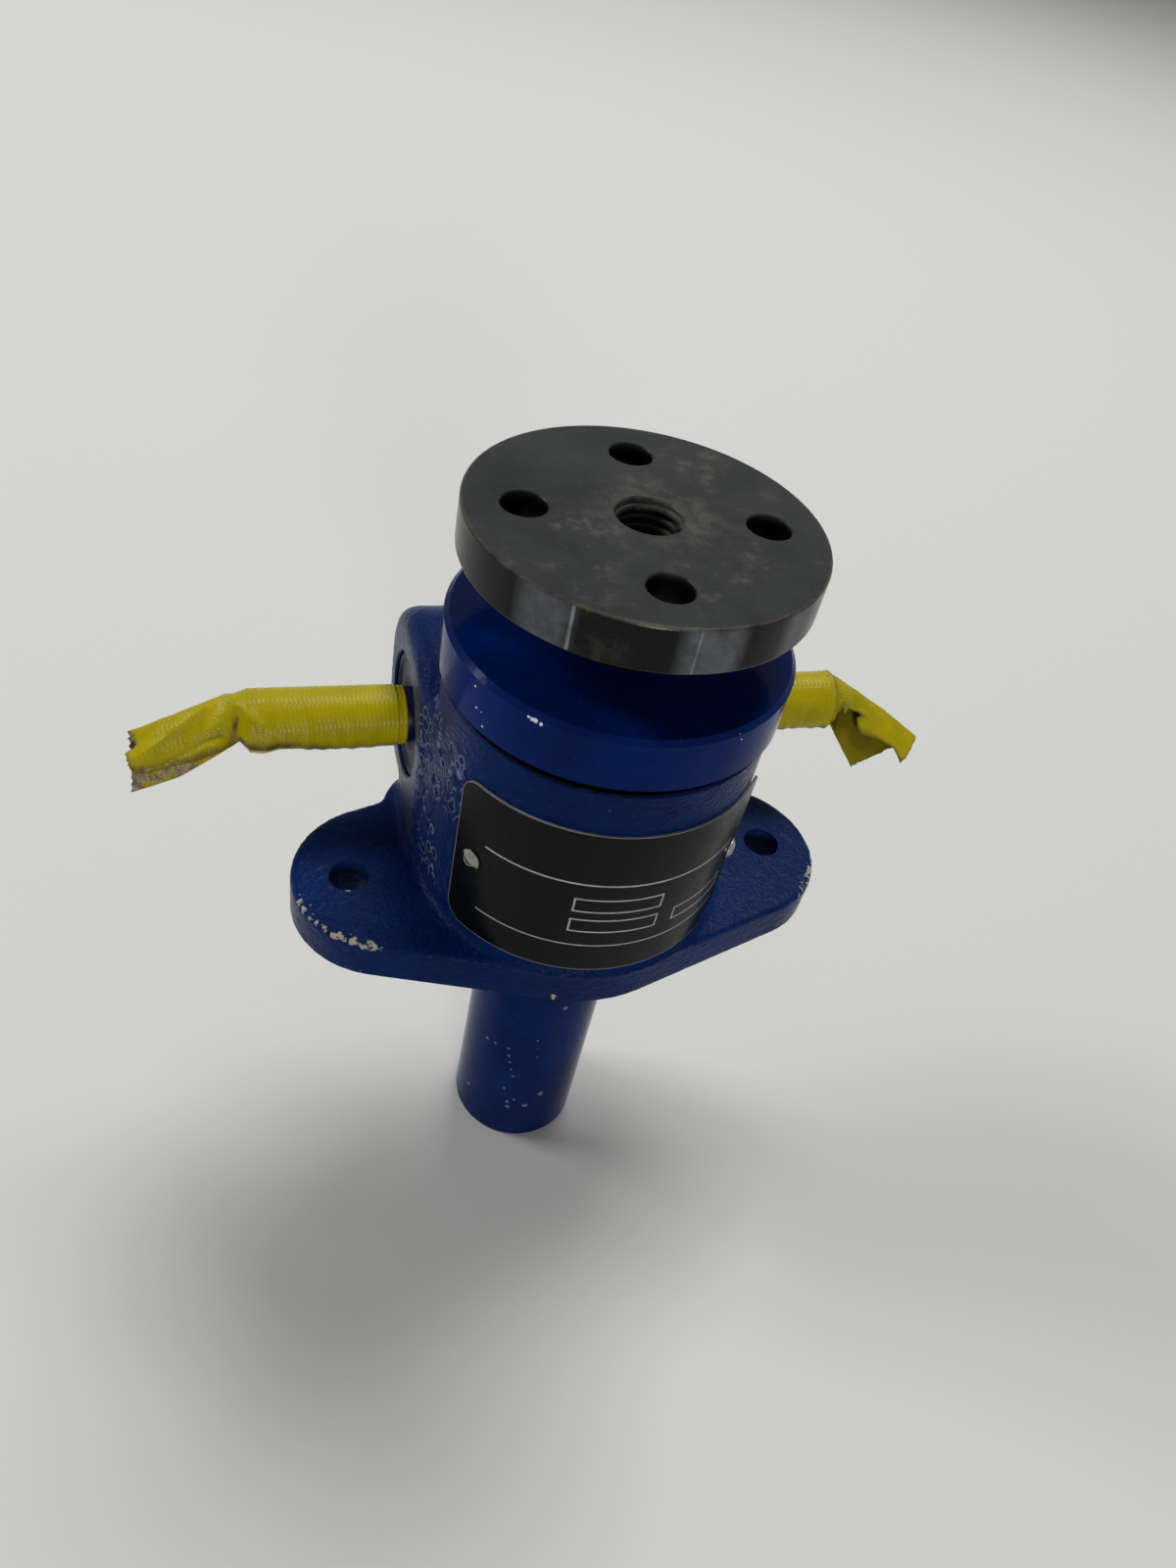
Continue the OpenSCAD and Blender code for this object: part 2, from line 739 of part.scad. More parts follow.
module worm_wheel() color("darkgoldenrod") {
    slices = 6;
    heights = [for (k = [0:slices]) wheel_face * (k / slices - 0.5)];
    difference() {
        union() {
            translate([0, 0, worm_z]) skin([for (z = heights) wheel_slice(z)], heights);
            translate([0, 0, wheel_bottom])
                bevelled_disc(wheel_root(0) - 0.2, wheel_rim_h, 0.5, 0.5);
            translate([0, 0, thrust_bottom + hub_overhang])
                bevelled_disc(wheel_hub_r, thrust_top - thrust_bottom - 2 * hub_overhang, 0.4, 0.4);
        }
        bore(nut_r, thrust_bottom, thrust_top);
    }
}

module worm_shaft() color("lightsteelblue") {
    step = worm_lead / 36;
    steps = ceil(worm_len / step);
    stations = [for (k = [0:steps]) worm_len * (k / steps - 0.5)];
    difference() {
        union() {
            on_worm(RIGHT) skin([for (x = stations) worm_slice(x)], stations);
            for (side = [LEFT, RIGHT]) on_worm(side) {
                bore(shoulder_r, worm_len / 2 - 0.5, race_in - 0.02);
                bevelled_disc(shaft_d / 2, shaft_half, 0.6);
            }
        }
        // keyseats near both ends
        for (side = [LEFT, RIGHT]) on_worm(side)
            translate([-key_w / 2, shaft_d / 2 - key_w / 2, shaft_half - key_len])
                cube([key_w, key_w, key_len + 1]);
    }
}

module outer_race(side) {
    on_worm(side) difference() {
        ring(race_od / 2, race_ball_ring_r + 0.34 * race_ball_d, race_in, race_out);
        race_groove();
    }
}

module inner_race(side) {
    on_worm(side) difference() {
        ring(race_ball_ring_r - 0.34 * race_ball_d, shaft_d / 2 + seat_clear, race_in, race_out);
        race_groove();
    }
}

module race_groove() {
    translate([0, 0, (race_in + race_out) / 2]) rotate_extrude()
        translate([race_ball_ring_r, 0]) circle(r = race_ball_d / 2 + ball_clear);
}

// Places its children on every ball's position of a worm bearing
module at_race_balls(side) {
    on_worm(side) translate([0, 0, (race_in + race_out) / 2])
        for (i = [0:race_balls - 1]) rotate([0, 0, 360 / race_balls * i]) children();
}

module race_ball_set(side) {
    at_race_balls(side) translate([race_ball_ring_r, 0, 0])
        sphere(r = race_ball_d / 2, $fn = 32);
}

module race_cage(side) {
    half_w = race_ball_d / 2 + ball_clear + 0.5;
    middle = (race_in + race_out) / 2;
    difference() {
        on_worm(side) ring(race_ball_ring_r + 0.9, race_ball_ring_r - 0.9,
            middle - half_w, middle + half_w);
        at_race_balls(side) rotate([0, 90, 0])
            cylinder(r = race_ball_d / 2 + ball_clear, h = race_od, $fn = 32);
    }
}

// Internal retaining ring, open at the top, with an ear at each end of the gap
module retaining_ring(side) {
    ear_a = 14;
    on_worm(side) {
        difference() {
            ring(ring_groove_r - 0.03, ring_groove_r - 2.2, race_out + 0.1, ring_out);
            translate([-ring_groove_r - 1, -2, race_out - 1])
                cube([ring_groove_r, 4, ring_t + 3]);
        }
        for (s = [-1, 1]) rotate([0, 0, 180 + s * ear_a]) difference() {
            translate([ring_groove_r - 2.9, 0, race_out + 0.1])
                cylinder(r = 1.7, h = ring_out - race_out - 0.1, $fn = 32);
            bore_at(ring_groove_r - 2.9, 0.6);
        }
    }
}

module bore_at(x, r) {
    translate([x, 0, race_out - 1]) cylinder(r = r, h = ring_t + 3, $fn = 32);
}

// Shaft seal: a shell pressed into the boss and a lip that runs on the shaft
module oil_seal(side) {
    lip_r = shaft_d / 2 + run_clear;
    on_worm(side) rotate_extrude() polygon([
        [lip_r + 1.2, seal_out - seal_w], [race_od / 2, seal_out - seal_w],
        [race_od / 2, seal_out - 0.4], [race_od / 2 - 0.4, seal_out],
        [race_od / 2 - 1.4, seal_out], [race_od / 2 - 1.9, seal_out - 0.5],
        [lip_r + 2.4, seal_out - 0.5], [lip_r, seal_out - 1.7], [lip_r, seal_out - 3],
    ]);
}

module left_outer_race() color("gainsboro") outer_race(LEFT);
module right_outer_race() color("gainsboro") outer_race(RIGHT);
module left_inner_race() color("gainsboro") inner_race(LEFT);
module right_inner_race() color("gainsboro") inner_race(RIGHT);
module left_bearing_cage() color("goldenrod") race_cage(LEFT);
module right_bearing_cage() color("goldenrod") race_cage(RIGHT);
module left_bearing_balls() color("silver") race_ball_set(LEFT);
module right_bearing_balls() color("silver") race_ball_set(RIGHT);
module left_retaining_ring() color("gray") retaining_ring(LEFT);
module right_retaining_ring() color("gray") retaining_ring(RIGHT);
module left_oil_seal() color("darkslateblue") oil_seal(LEFT);
module right_oil_seal() color("darkslateblue") oil_seal(RIGHT);

// Tape wound round a shaft end and pressed flat beyond it
module shaft_tape(side, lean, sag) {
    on_worm(side) {
        ring(tape_r - tape_t / 2, tape_r - tape_t, tape_in, tape_in + tape_lap + eps);
        ring(tape_r, tape_r - tape_t, tape_in + tape_lap, shaft_half + 0.3);
    }
    hull() {
        on_worm(side) bore(tape_r - 0.15, shaft_half + 0.1, shaft_half + 0.5, $fn = 32);
        translate([side * (shaft_half + tape_tail), centre_distance, worm_z])
            rotate([lean, 0, 0]) translate([-0.5, -sag - tape_tip_w / 2, -tape_flat / 2])
                cube([1, tape_tip_w, tape_flat]);
    }
}

module left_shaft_tape() color("gold") shaft_tape(LEFT, 42, left_sag);
module right_shaft_tape() color("gold") shaft_tape(RIGHT, 42, right_sag);

// ---------------------------------------------------------------- screw and plate

module lifting_screw() color("slategray") {
    difference() {
        union() {
            translate([0, 0, screw_bottom])
                bevelled_disc(screw_d / 2, plate_hub_bottom - screw_bottom - 0.02, 0.4, 1);
            translate([0, 0, plate_hub_bottom - 1])
                bevelled_disc(stud_d / 2, stud_h + 1, 0.6);
        }
        stop_pin_bore(pin_r + seat_clear);
    }
}

module stop_pin_bore(r) {
    translate([-stop_r - 1, 0, stop_top - stop_t / 2]) rotate([0, 90, 0])
        cylinder(r = r, h = 2 * stop_r + 2);
}

// Collar that keeps the screw from leaving the wheel
module screw_stop() color("gray") {
    difference() {
        translate([0, 0, stop_top - stop_t]) bevelled_disc(stop_r, stop_t, 0.5, 0.5);
        bore(screw_d / 2 + seat_clear, stop_top - stop_t - 1, stop_top + 1);
        stop_pin_bore(pin_r + seat_clear);
    }
}

module stop_pin() color("silver") {
    translate([-stop_r + 0.5, 0, stop_top - stop_t / 2]) rotate([0, 90, 0])
        bevelled_disc(pin_r, 2 * stop_r - 1, 0.2, 0.2);
}

module top_plate() color("darkslategray") {
    difference() {
        union() {
            translate([0, 0, plate_bottom])
                bevelled_disc(plate_d / 2, plate_t, plate_bevel, plate_bevel);
            translate([0, 0, plate_hub_bottom])
                bevelled_disc(plate_hub_d / 2, plate_hub_h + 1, 0, 0.5);
        }
        bore(stud_d / 2 + seat_clear, plate_hub_bottom - 1, plate_hub_bottom + stud_h + 0.3);
        bore(plate_tap_d / 2, plate_hub_bottom + stud_h, plate_top + 1);
        translate([0, 0, plate_top]) countersink(plate_tap_d / 2, 0.9);
        for (i = [0:3]) rotate([0, 0, plate_turn + 90 * i]) translate([plate_pcd / 2, 0, 0]) {
            bore(plate_hole_d / 2, plate_bottom - 1, plate_top + 1);
            translate([0, 0, plate_top]) countersink(plate_hole_d / 2, 0.35);
        }
        on_radius(set_screw_angle, set_screw_z)
            bore(set_screw_r + seat_clear, 0, plate_hub_d);
    }
}

module plate_set_screw() color("dimgray") {
    on_radius(set_screw_angle, set_screw_z)
        translate([0, 0, stud_d / 2 + 0.1])
            grub_screw(set_screw_r, plate_hub_d / 2 - stud_d / 2 - 1.2);
}

housing();
bearing_cap();
cap_lock_screws();
cap_bushing();
screw_wiper();
lower_bushing();
protection_tube();
tube_plug();
nameplate();
nameplate_rivets();
grease_fitting();
upper_case_washer();
lower_case_washer();
upper_wheel_washer();
lower_wheel_washer();
upper_thrust_cage();
upper_thrust_balls();
lower_thrust_cage();
lower_thrust_balls();
worm_wheel();
worm_shaft();
left_outer_race();
left_inner_race();
left_bearing_cage();
left_bearing_balls();
left_retaining_ring();
left_oil_seal();
left_shaft_tape();
right_outer_race();
right_inner_race();
right_bearing_cage();
right_bearing_balls();
right_retaining_ring();
right_oil_seal();
right_shaft_tape();
lifting_screw();
screw_stop();
stop_pin();
top_plate();
plate_set_screw();
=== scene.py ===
import math

import bmesh
import bpy
import numpy as np
from mathutils import Matrix, Vector, noise


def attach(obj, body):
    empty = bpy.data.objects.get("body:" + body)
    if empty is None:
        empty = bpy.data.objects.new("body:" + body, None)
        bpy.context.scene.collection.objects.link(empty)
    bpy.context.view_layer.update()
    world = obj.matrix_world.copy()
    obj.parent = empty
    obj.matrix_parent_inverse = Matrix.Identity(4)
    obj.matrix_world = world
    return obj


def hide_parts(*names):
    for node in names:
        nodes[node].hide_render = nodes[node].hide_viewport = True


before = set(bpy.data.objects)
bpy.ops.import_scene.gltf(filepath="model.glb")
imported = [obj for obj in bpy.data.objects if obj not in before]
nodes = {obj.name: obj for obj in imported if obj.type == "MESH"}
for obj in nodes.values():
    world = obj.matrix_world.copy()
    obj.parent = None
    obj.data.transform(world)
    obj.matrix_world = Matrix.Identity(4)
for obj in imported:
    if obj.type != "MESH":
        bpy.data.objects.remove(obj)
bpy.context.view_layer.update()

mm = 0.001


# ---------------------------------------------------------------- Eye, floor and lamps
# The jack stands on the foot of its tube, on a matt pale floor, and is seen from above
# its left front corner, close by, with the upright lines running together downwards.

eye_at = Vector((-0.076288, -0.167957, 0.202282))
eye_right = Vector((0.949645, -0.259734, 0.175251))
eye_up = Vector((0.057312, 0.693875, 0.717811))
eye_back = Vector((-0.308043, -0.671621, 0.673821))
eye = bpy.data.objects.new("eye", bpy.data.cameras.new("eye"))
eye.data.lens = 25.865
eye.data.sensor_width = 36.0
eye.data.clip_start = 0.01
eye.matrix_world = Matrix.Translation(eye_at) @ Matrix((eye_right, eye_up, eye_back)).transposed().to_4x4()
bpy.context.scene.collection.objects.link(eye)
bpy.context.scene.camera = eye
bpy.context.scene.view_settings.view_transform = "Standard"


def new_piece(name, mesh, body=None):
    """A finished piece with its place in its mesh, riding on a body of the jack."""
    obj = bpy.data.objects.new(name, mesh)
    bpy.context.scene.collection.objects.link(obj)
    if body:
        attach(obj, body)
    return obj


def join(tree, value, socket):
    """Links a socket to another one, or sets it to a value."""
    if isinstance(value, bpy.types.NodeSocket):
        tree.links.new(value, socket)
    elif socket.type == "RGBA":
        socket.default_value = (*value, 1)
    else:
        socket.default_value = value


def put(tree, kind, links=None, **settings):
    """Adds a node with its settings and what its inputs get, and gives its outputs."""
    node = tree.nodes.new(kind)
    for key, value in settings.items():
        setattr(node, key, value)
    for socket, value in (links or {}).items():
        join(tree, value, node.inputs[socket])
    return node.outputs


class Finish:
    """A new material, with short ways to grow its nodes."""

    def __init__(self, name):
        self.material = bpy.data.materials.new(name)
        self.material.use_nodes = True
        self.tree = self.material.node_tree
        self.shader = self.tree.nodes["Principled BSDF"]
        self.at = self.add("ShaderNodeTexCoord")["Object"]

    def add(self, kind, links=None, **settings):
        return put(self.tree, kind, links, **settings)

    def noise(self, scale, detail, roughness=0.5, **more):
        """Clouds of a size, about 0.5."""
        return self.add("ShaderNodeTexNoise", {"Vector": self.at, "Scale": scale, "Detail": detail,
                                               "Roughness": roughness, **more})["Fac"]

    def marked(self, name):
        """A value that the mesh's points carry."""
        return self.add("ShaderNodeAttribute", attribute_name=name)["Fac"]

    def ramp(self, value, low, high, to_low=0.0, to_high=1.0):
        """A value spread from one range to another, and held at the ends."""
        return self.add("ShaderNodeMapRange", {"Value": value, "From Min": low, "From Max": high,
                                               "To Min": to_low, "To Max": to_high})["Result"]

    def sums(self, kind, *values):
        """Values joined one after another by a kind of sum."""
        whole = values[0]
        for value in values[1:]:
            whole = self.add("ShaderNodeMath", {0: whole, 1: value}, operation=kind)[0]
        return whole

    def times(self, *values):
        return self.sums("MULTIPLY", *values)

    def vector(self, kind, *values):
        """A sum of places; its outputs are a place and a plain value."""
        return self.add("ShaderNodeVectorMath", dict(enumerate(values)), operation=kind)

    def mixed(self, share, a, b):
        return self.add("ShaderNodeMix", {"Factor": share, "A": a, "B": b}, data_type="RGBA")["Result"]

    def set(self, **sockets):
        """Sets or links the shader's sockets; _ stands for a space in their names."""
        for name, value in sockets.items():
            join(self.tree, value, self.shader.inputs[name.replace("_", " ")])

    def bump(self, height, strength, distance):
        self.set(Normal=self.add("ShaderNodeBump", {"Height": height, "Strength": strength,
                                                    "Distance": distance})["Normal"])


def coat(piece, *finishes):
    """Gives a new piece its finishes."""
    piece.data.materials.clear()
    for finish in finishes:
        piece.data.materials.append(finish.material)


floor_z, floor_reach = -0.0889, 5.0
floor_mesh = bpy.data.meshes.new("floor")
floor_mesh.from_pydata(
    [(x * floor_reach, y * floor_reach, floor_z) for x, y in ((-1, -1), (1, -1), (1, 1), (-1, 1))],
    [], [(0, 1, 2, 3)])
floor = new_piece("floor", floor_mesh)
floor_paint = Finish("floor_paint")
floor_paint.set(Base_Color=(0.61, 0.61, 0.59), Roughness=0.75)
coat(floor, floor_paint)


def lamp(name, at, towards, size, power):
    """A soft oblong lamp that faces a point of the jack."""
    light = bpy.data.lights.new(name, "AREA")
    light.shape = "RECTANGLE"
    light.size, light.size_y = size
    light.energy = power
    obj = bpy.data.objects.new(name, light)
    obj.location = at
    obj.rotation_euler = (Vector(towards) - Vector(at)).to_track_quat("-Z", "Y").to_euler()
    bpy.context.scene.collection.objects.link(obj)


lamp("window", (-2.3, 1.2, 1.9), (0, 0, 0.0), (1.0, 0.8), 41.0)
lamp("ceiling", (1.0, 1.3, 3.2), (0, 0, 0.0), (1.7, 1.1), 90.0)
lamp("front", (-0.3, -2.6, 0.55), (0, 0, 0.03), (0.7, 0.4), 26.0)

# the room gives little light, and is brighter where it is seen or mirrored
room_light, room_seen = 0.10, 0.57
room = bpy.data.worlds.new("room")
bpy.context.scene.world = room
room.use_nodes = True
walls = room.node_tree.nodes["Background"]
ray = put(room.node_tree, "ShaderNodeLightPath")
seen = ray["Is Camera Ray"]
for kind in ("Is Glossy Ray", "Is Transmission Ray"):
    seen = put(room.node_tree, "ShaderNodeMath", {0: seen, 1: ray[kind]}, operation="MAXIMUM")[0]
glow = put(room.node_tree, "ShaderNodeMapRange", {"Value": seen, "To Min": room_light, "To Max": room_seen})
join(room.node_tree, glow["Result"], walls.inputs["Strength"])
join(room.node_tree, (0.97, 0.98, 0.96), walls.inputs["Color"])


# ---------------------------------------------------------------- Gear case
# One grey iron casting with base, round case and worm boss. It is cast first, lumpy, with
# blisters where the mould washed out, then its faces and bores are machined, and it is
# painted blue over the raw cast skin.

lobe_at, lobe_r, case_r = 42 * mm, 21.5 * mm, 34.0 * mm
base_low, base_top, case_top = -2 * mm, 9.5 * mm, 64.8 * mm
boss_face, worm_y, worm_z = 36.3 * mm, 25.4 * mm, 34.3 * mm
boss_half, boss_corner, boss_edge = 22.5 * mm, 18.0 * mm, 4.0 * mm
foot, foot_back, fillet = 2.0 * mm, 4.0 * mm, 2.5 * mm
quarter = np.linspace(0, math.pi / 2, 7)

base_outline = []
lean = math.asin((case_r - lobe_r) / lobe_at)
for middle, radius, start, stop in (
    (lobe_at, lobe_r, -math.pi / 2 + lean, math.pi / 2 - lean),
    (0.0, case_r, math.pi / 2 - lean, math.pi / 2 + lean),
    (-lobe_at, lobe_r, math.pi / 2 + lean, math.pi * 1.5 - lean),
    (0.0, case_r, math.pi * 1.5 - lean, math.pi * 1.5 + lean),
):
    for k in range(25):
        a = start + (stop - start) * k / 24
        base_outline.append((middle + radius * math.cos(a), radius * math.sin(a)))


def rounded_box(middle_u, middle_v, half_u, half_v, r):
    """Outline of a rounded rectangle, from the half sizes to its corners' centres."""
    points = []
    for su, sv, start in ((1, 1, 0), (-1, 1, 90), (-1, -1, 180), (1, -1, 270)):
        for k in range(13):
            a = math.radians(start + 7.5 * k)
            points.append((middle_u + su * half_u + r * math.cos(a),
                           middle_v + sv * half_v + r * math.sin(a)))
    return points


def loft(slices, heights, lay=lambda u, v, w: (u, v, w)):
    """Closed solid through outlines at heights; lay says how (u, v, height) is a place."""
    n = len(slices[0])
    places = [lay(u, v, w) for points, w in zip(slices, heights) for u, v in points]
    last = n * (len(slices) - 1)
    faces = [tuple(reversed(range(n))), tuple(range(last, last + n))]
    for j in range(0, last, n):
        for i in range(n):
            a, b = j + i, j + (i + 1) % n
            faces.append((a, b, b + n, a + n))
    return places, faces


def lathe(profile, steps=96, lay=lambda x, y, z: (x, y, z)):
    """Closed solid turned from (radius, height) points that start and end on the axis."""
    places = [lay(0, 0, profile[0][1])]
    inner = profile[1:-1]
    for r, z in inner:
        for k in range(steps):
            a = 2 * math.pi * k / steps
            places.append(lay(r * math.cos(a), r * math.sin(a), z))
    places.append(lay(0, 0, profile[-1][1]))
    last = len(places) - 1
    faces = [(0, 1 + (k + 1) % steps, 1 + k) for k in range(steps)]
    for j in range(len(inner) - 1):
        for k in range(steps):
            a, b = 1 + j * steps + k, 1 + j * steps + (k + 1) % steps
            faces.append((a, b, b + steps, a + steps))
    ring = 1 + (len(inner) - 1) * steps
    faces += [(ring + k, ring + (k + 1) % steps, last) for k in range(steps)]
    return places, faces


def upright(x, y):
    """Lays a turned solid upright at a place."""
    return lambda a, b, z: (x + a, y + b, z)


def mesh_of(name, *solids):
    """One mesh out of several closed solids, all facing outwards."""
    bm = bmesh.new()
    for places, faces in solids:
        verts = [bm.verts.new(p) for p in places]
        for face in faces:
            bm.faces.new([verts[i] for i in face])
    bmesh.ops.recalc_face_normals(bm, faces=bm.faces)
    mesh = bpy.data.meshes.new(name)
    bm.to_mesh(mesh)
    bm.free()
    return mesh


def worked(mesh, *steps):
    """The mesh after modifiers, each given as (kind, settings), are applied to it."""
    obj = bpy.data.objects.new("work", mesh)
    bpy.context.scene.collection.objects.link(obj)
    for kind, settings in steps:
        mod = obj.modifiers.new(kind.lower(), kind)
        for key, value in settings.items():
            setattr(mod, key, value)
    result = bpy.data.meshes.new_from_object(obj.evaluated_get(bpy.context.evaluated_depsgraph_get()))
    bpy.data.objects.remove(obj)
    return result


def cut(mesh, *tools):
    """The mesh with each tool solid taken away from it, as a cutter would."""
    for places, faces in tools:
        cutter = bpy.data.objects.new("cutter", mesh_of("cutter", (places, faces)))
        bpy.context.scene.collection.objects.link(cutter)
        mesh = worked(mesh, ("BOOLEAN", {"operation": "DIFFERENCE", "object": cutter, "solver": "MANIFOLD"}))
        bpy.data.objects.remove(cutter)
    return mesh


def box_solid(low, high):
    (x0, y0, z0), (x1, y1, z1) = low, high
    return loft([[(x0, y0), (x1, y0), (x1, y1), (x0, y1)]] * 2, [z0, z1])


def rows_of(collection, key):
    """Places or directions of a mesh's parts as an array, one row each."""
    rows = np.empty(len(collection) * 3)
    collection.foreach_get(key, rows)
    return rows.reshape(-1, 3)


def mark(mesh, name, values):
    """Gives each point of a mesh a value, for the finish to read."""
    mesh.attributes.new(name, "FLOAT", "POINT").data.foreach_set("value", values)


def web(side):
    """Cast web that runs from the round case out to the boss's end face, in front."""
    slices, heights = [], np.linspace(6 * mm, 53 * mm, 13)
    for z in heights:
        up = max(0.0, abs(z - worm_z) - 4.5 * mm)
        deep = 22 * mm if z < worm_z else 4.5 * mm + math.sqrt(boss_corner**2 - up * up)
        corner = Vector((-35.9 * mm, worm_y - deep + 3.2 * mm))
        turn = math.atan2(corner.y, corner.x) + math.acos(case_r / corner.length)
        touch = case_r * Vector((math.cos(turn), math.sin(turn)))
        slices.append([(side * p[0], p[1]) for p in (corner, touch, (-24 * mm, corner.y + 4 * mm))])
    return loft(slices, heights)


boss_core = boss_half - boss_corner
boss_ends = [rounded_box(worm_y, worm_z, boss_core, boss_core, boss_corner - boss_edge * (1 - math.sin(a)))
             for a in quarter]
boss_drops = [boss_edge * (1 - math.cos(a)) for a in quarter]
boss_bar = loft(boss_ends + boss_ends[::-1],
                [d - boss_face for d in boss_drops] + [boss_face - d for d in boss_drops[::-1]],
                lambda u, v, w: (w, u, v))
foot_half = (boss_half + foot_back) / 2
foot_flares = [foot] + [foot * (1 - math.sin(a)) for a in quarter] + [0]
foot_heights = [base_low] + [base_top + foot * (1 - math.cos(a)) for a in quarter] + [worm_z]
pedestal = loft([rounded_box(0, worm_y + foot_back - foot_half, boss_face - boss_edge, foot_half - boss_edge,
                             boss_edge + flare) for flare in foot_flares], foot_heights)
skirt = [(case_r + fillet * (1 - math.sin(a)), base_top + fillet * (1 - math.cos(a))) for a in quarter]
gusset = ((48.5, 18.5), (43.5, 20.6), (40.3, 23.2), (38.3, 27.5), (33, 27), (33, 14))
blank = [
    loft([base_outline] * 2, [base_low, base_top]),
    lathe([(0, 0), (case_r, 0), (case_r, 67 * mm), (0, 67 * mm)], 160),
    boss_bar,
    pedestal,
    lathe([(0, 5 * mm)] + skirt + [(0, 12 * mm)], 160),
    web(1),
    web(-1),
]
for side in (1, -1):
    blank.append(loft([[(side * x * mm, y * mm) for x, y in gusset]] * 2, [base_low, base_top]))
skin_step = 0.7 * mm
casting = worked(
    mesh_of("casting", *blank),
    ("REMESH", {"mode": "VOXEL", "voxel_size": skin_step}),
    ("SMOOTH", {"factor": 0.5, "iterations": 9}),
)

# the mould's washed-out patch gets finer skin, for the blisters
washed_x, washed_y, washed_low, washed_high = -26 * mm, 9 * mm, 9.5, 61
washed_from, washed_to, blister_count = 164, 207, 250
bm = bmesh.new()
bm.from_mesh(casting)


def washed_out(p):
    """Share of blistered skin at a place: most on the front left of the case."""
    x, y, z = p
    if x > washed_x or y > washed_y:
        return 0.0
    a = math.degrees(math.atan2(y, x)) % 360
    across = min(1.0, max(0.0, (a - washed_from) / 6)) * min(1.0, max(0.0, (washed_to - a) / 6))
    lower = min(1.0, max(0.0, (z / mm - washed_low) / 3))
    return across * lower * min(1.0, max(0.0, (washed_high - z / mm) / 14))


patch = [f for f in bm.faces if washed_out(f.calc_center_median()) > 0.02]
bmesh.ops.subdivide_edges(bm, edges=list({e for f in patch for e in f.edges}), cuts=1, use_grid_fill=True)
bmesh.ops.triangulate(bm, faces=[f for f in bm.faces if len(f.verts) > 4])
bm.to_mesh(casting)
bm.free()

skin = rows_of(casting.vertices, "co")
ways = rows_of(casting.vertex_normals, "vector")
swell = np.array([0.05 * noise.noise(Vector(p) * 420) + 0.03 * noise.noise(Vector(p) * 900) for p in skin])
dice = np.random.default_rng(4)
share = np.array([washed_out(p) for p in skin])
weak = np.flatnonzero(share > 0.02)
seeds = skin[dice.choice(weak, blister_count, replace=False)]
sizes = dice.uniform(0.7, 1.7, len(seeds))
heights = dice.uniform(0.06, 0.22, len(seeds)) * np.where(dice.random(len(seeds)) < 0.5, -1.0, 0.9)
for p, size, height in zip(seeds, sizes, heights):
    stretch = dice.uniform(0.7, 1.5, 3)
    away = np.linalg.norm((skin[weak] - p) * stretch, axis=1) / (size * mm)
    side = np.arctan2(skin[weak][:, 2] - p[2], skin[weak][:, 1] - p[1])
    away += 0.12 * np.sin(dice.uniform(0, 6) + 9 * side)
    swell[weak] += height * share[weak] * np.clip((1 - away) * 2.2, 0, 1)
swell = np.clip(swell, -0.9, 0.9)
casting.vertices.foreach_set("co", (skin + ways * swell[:, None] * mm).ravel())
mark(casting, "swollen", swell)

# the blown cells run in strips, each (bearing, half width, low, high), in degrees and millimetres
bearing = np.degrees(np.arctan2(skin[:, 1], skin[:, 0])) % 360
level = skin[:, 2] / mm
strips = ((171, 6.5, 22, 60), (184, 4.5, 34, 58), (196, 8.0, 36, 60), (183, 10.0, 11, 29))
blown = sum(np.exp(-(((bearing - a) / spread) ** 4))
            * np.clip((level - low) / 3, 0, 1) * np.clip((high - level) / 3, 0, 1)
            for a, spread, low, high in strips)
mark(casting, "blown", np.clip(blown, 0, 1) * (skin[:, 0] < washed_x))


def turned_ring(loop, steps=192):
    """Closed ring turned from a loop of (radius, height) points that keeps off the axis."""
    m = len(loop)
    turns = [2 * math.pi * k / steps for k in range(steps)]
    places = [(r * math.cos(a), r * math.sin(a), z) for a in turns for r, z in loop]
    faces = []
    for k in range(steps):
        here, there = k * m, (k + 1) % steps * m
        faces += [(here + i, here + (i + 1) % m, there + (i + 1) % m, there + i) for i in range(m)]
    return places, faces


rebate = turned_ring([(r * mm, z * mm) for r, z in (
    (32.6, 63.4), (33.5, 63.4), (34.4, 62.5), (38, 62.5), (38, 70), (32.6, 70))])
case_bores = lathe([(r * mm, z * mm) for r, z in (
    (0, -5), (16.72, -5), (16.72, 8), (10.57, 8), (10.57, 17.3), (17.52, 17.3), (17.52, 20.5), (22.0, 20.5),
    (22.0, 48.7), (29.02, 48.7), (29.02, 64.4), (29.5, 64.9), (29.5, 80), (0, 80))])
half_worm = [(12.14, 0), (12.14, 20.06), (14.32, 20.06), (14.32, 28.05), (15.05, 28.05), (15.05, 29.25),
             (14.32, 29.25), (14.32, 35.9), (14.75, 36.35), (14.75, 45), (0, 45)]
worm_bores = lathe(
    [(r * mm, -x * mm) for r, x in half_worm[:0:-1]] + [(r * mm, x * mm) for r, x in half_worm[1:]],
    96, lambda x, y, z: (z, worm_y + x, worm_z + y))

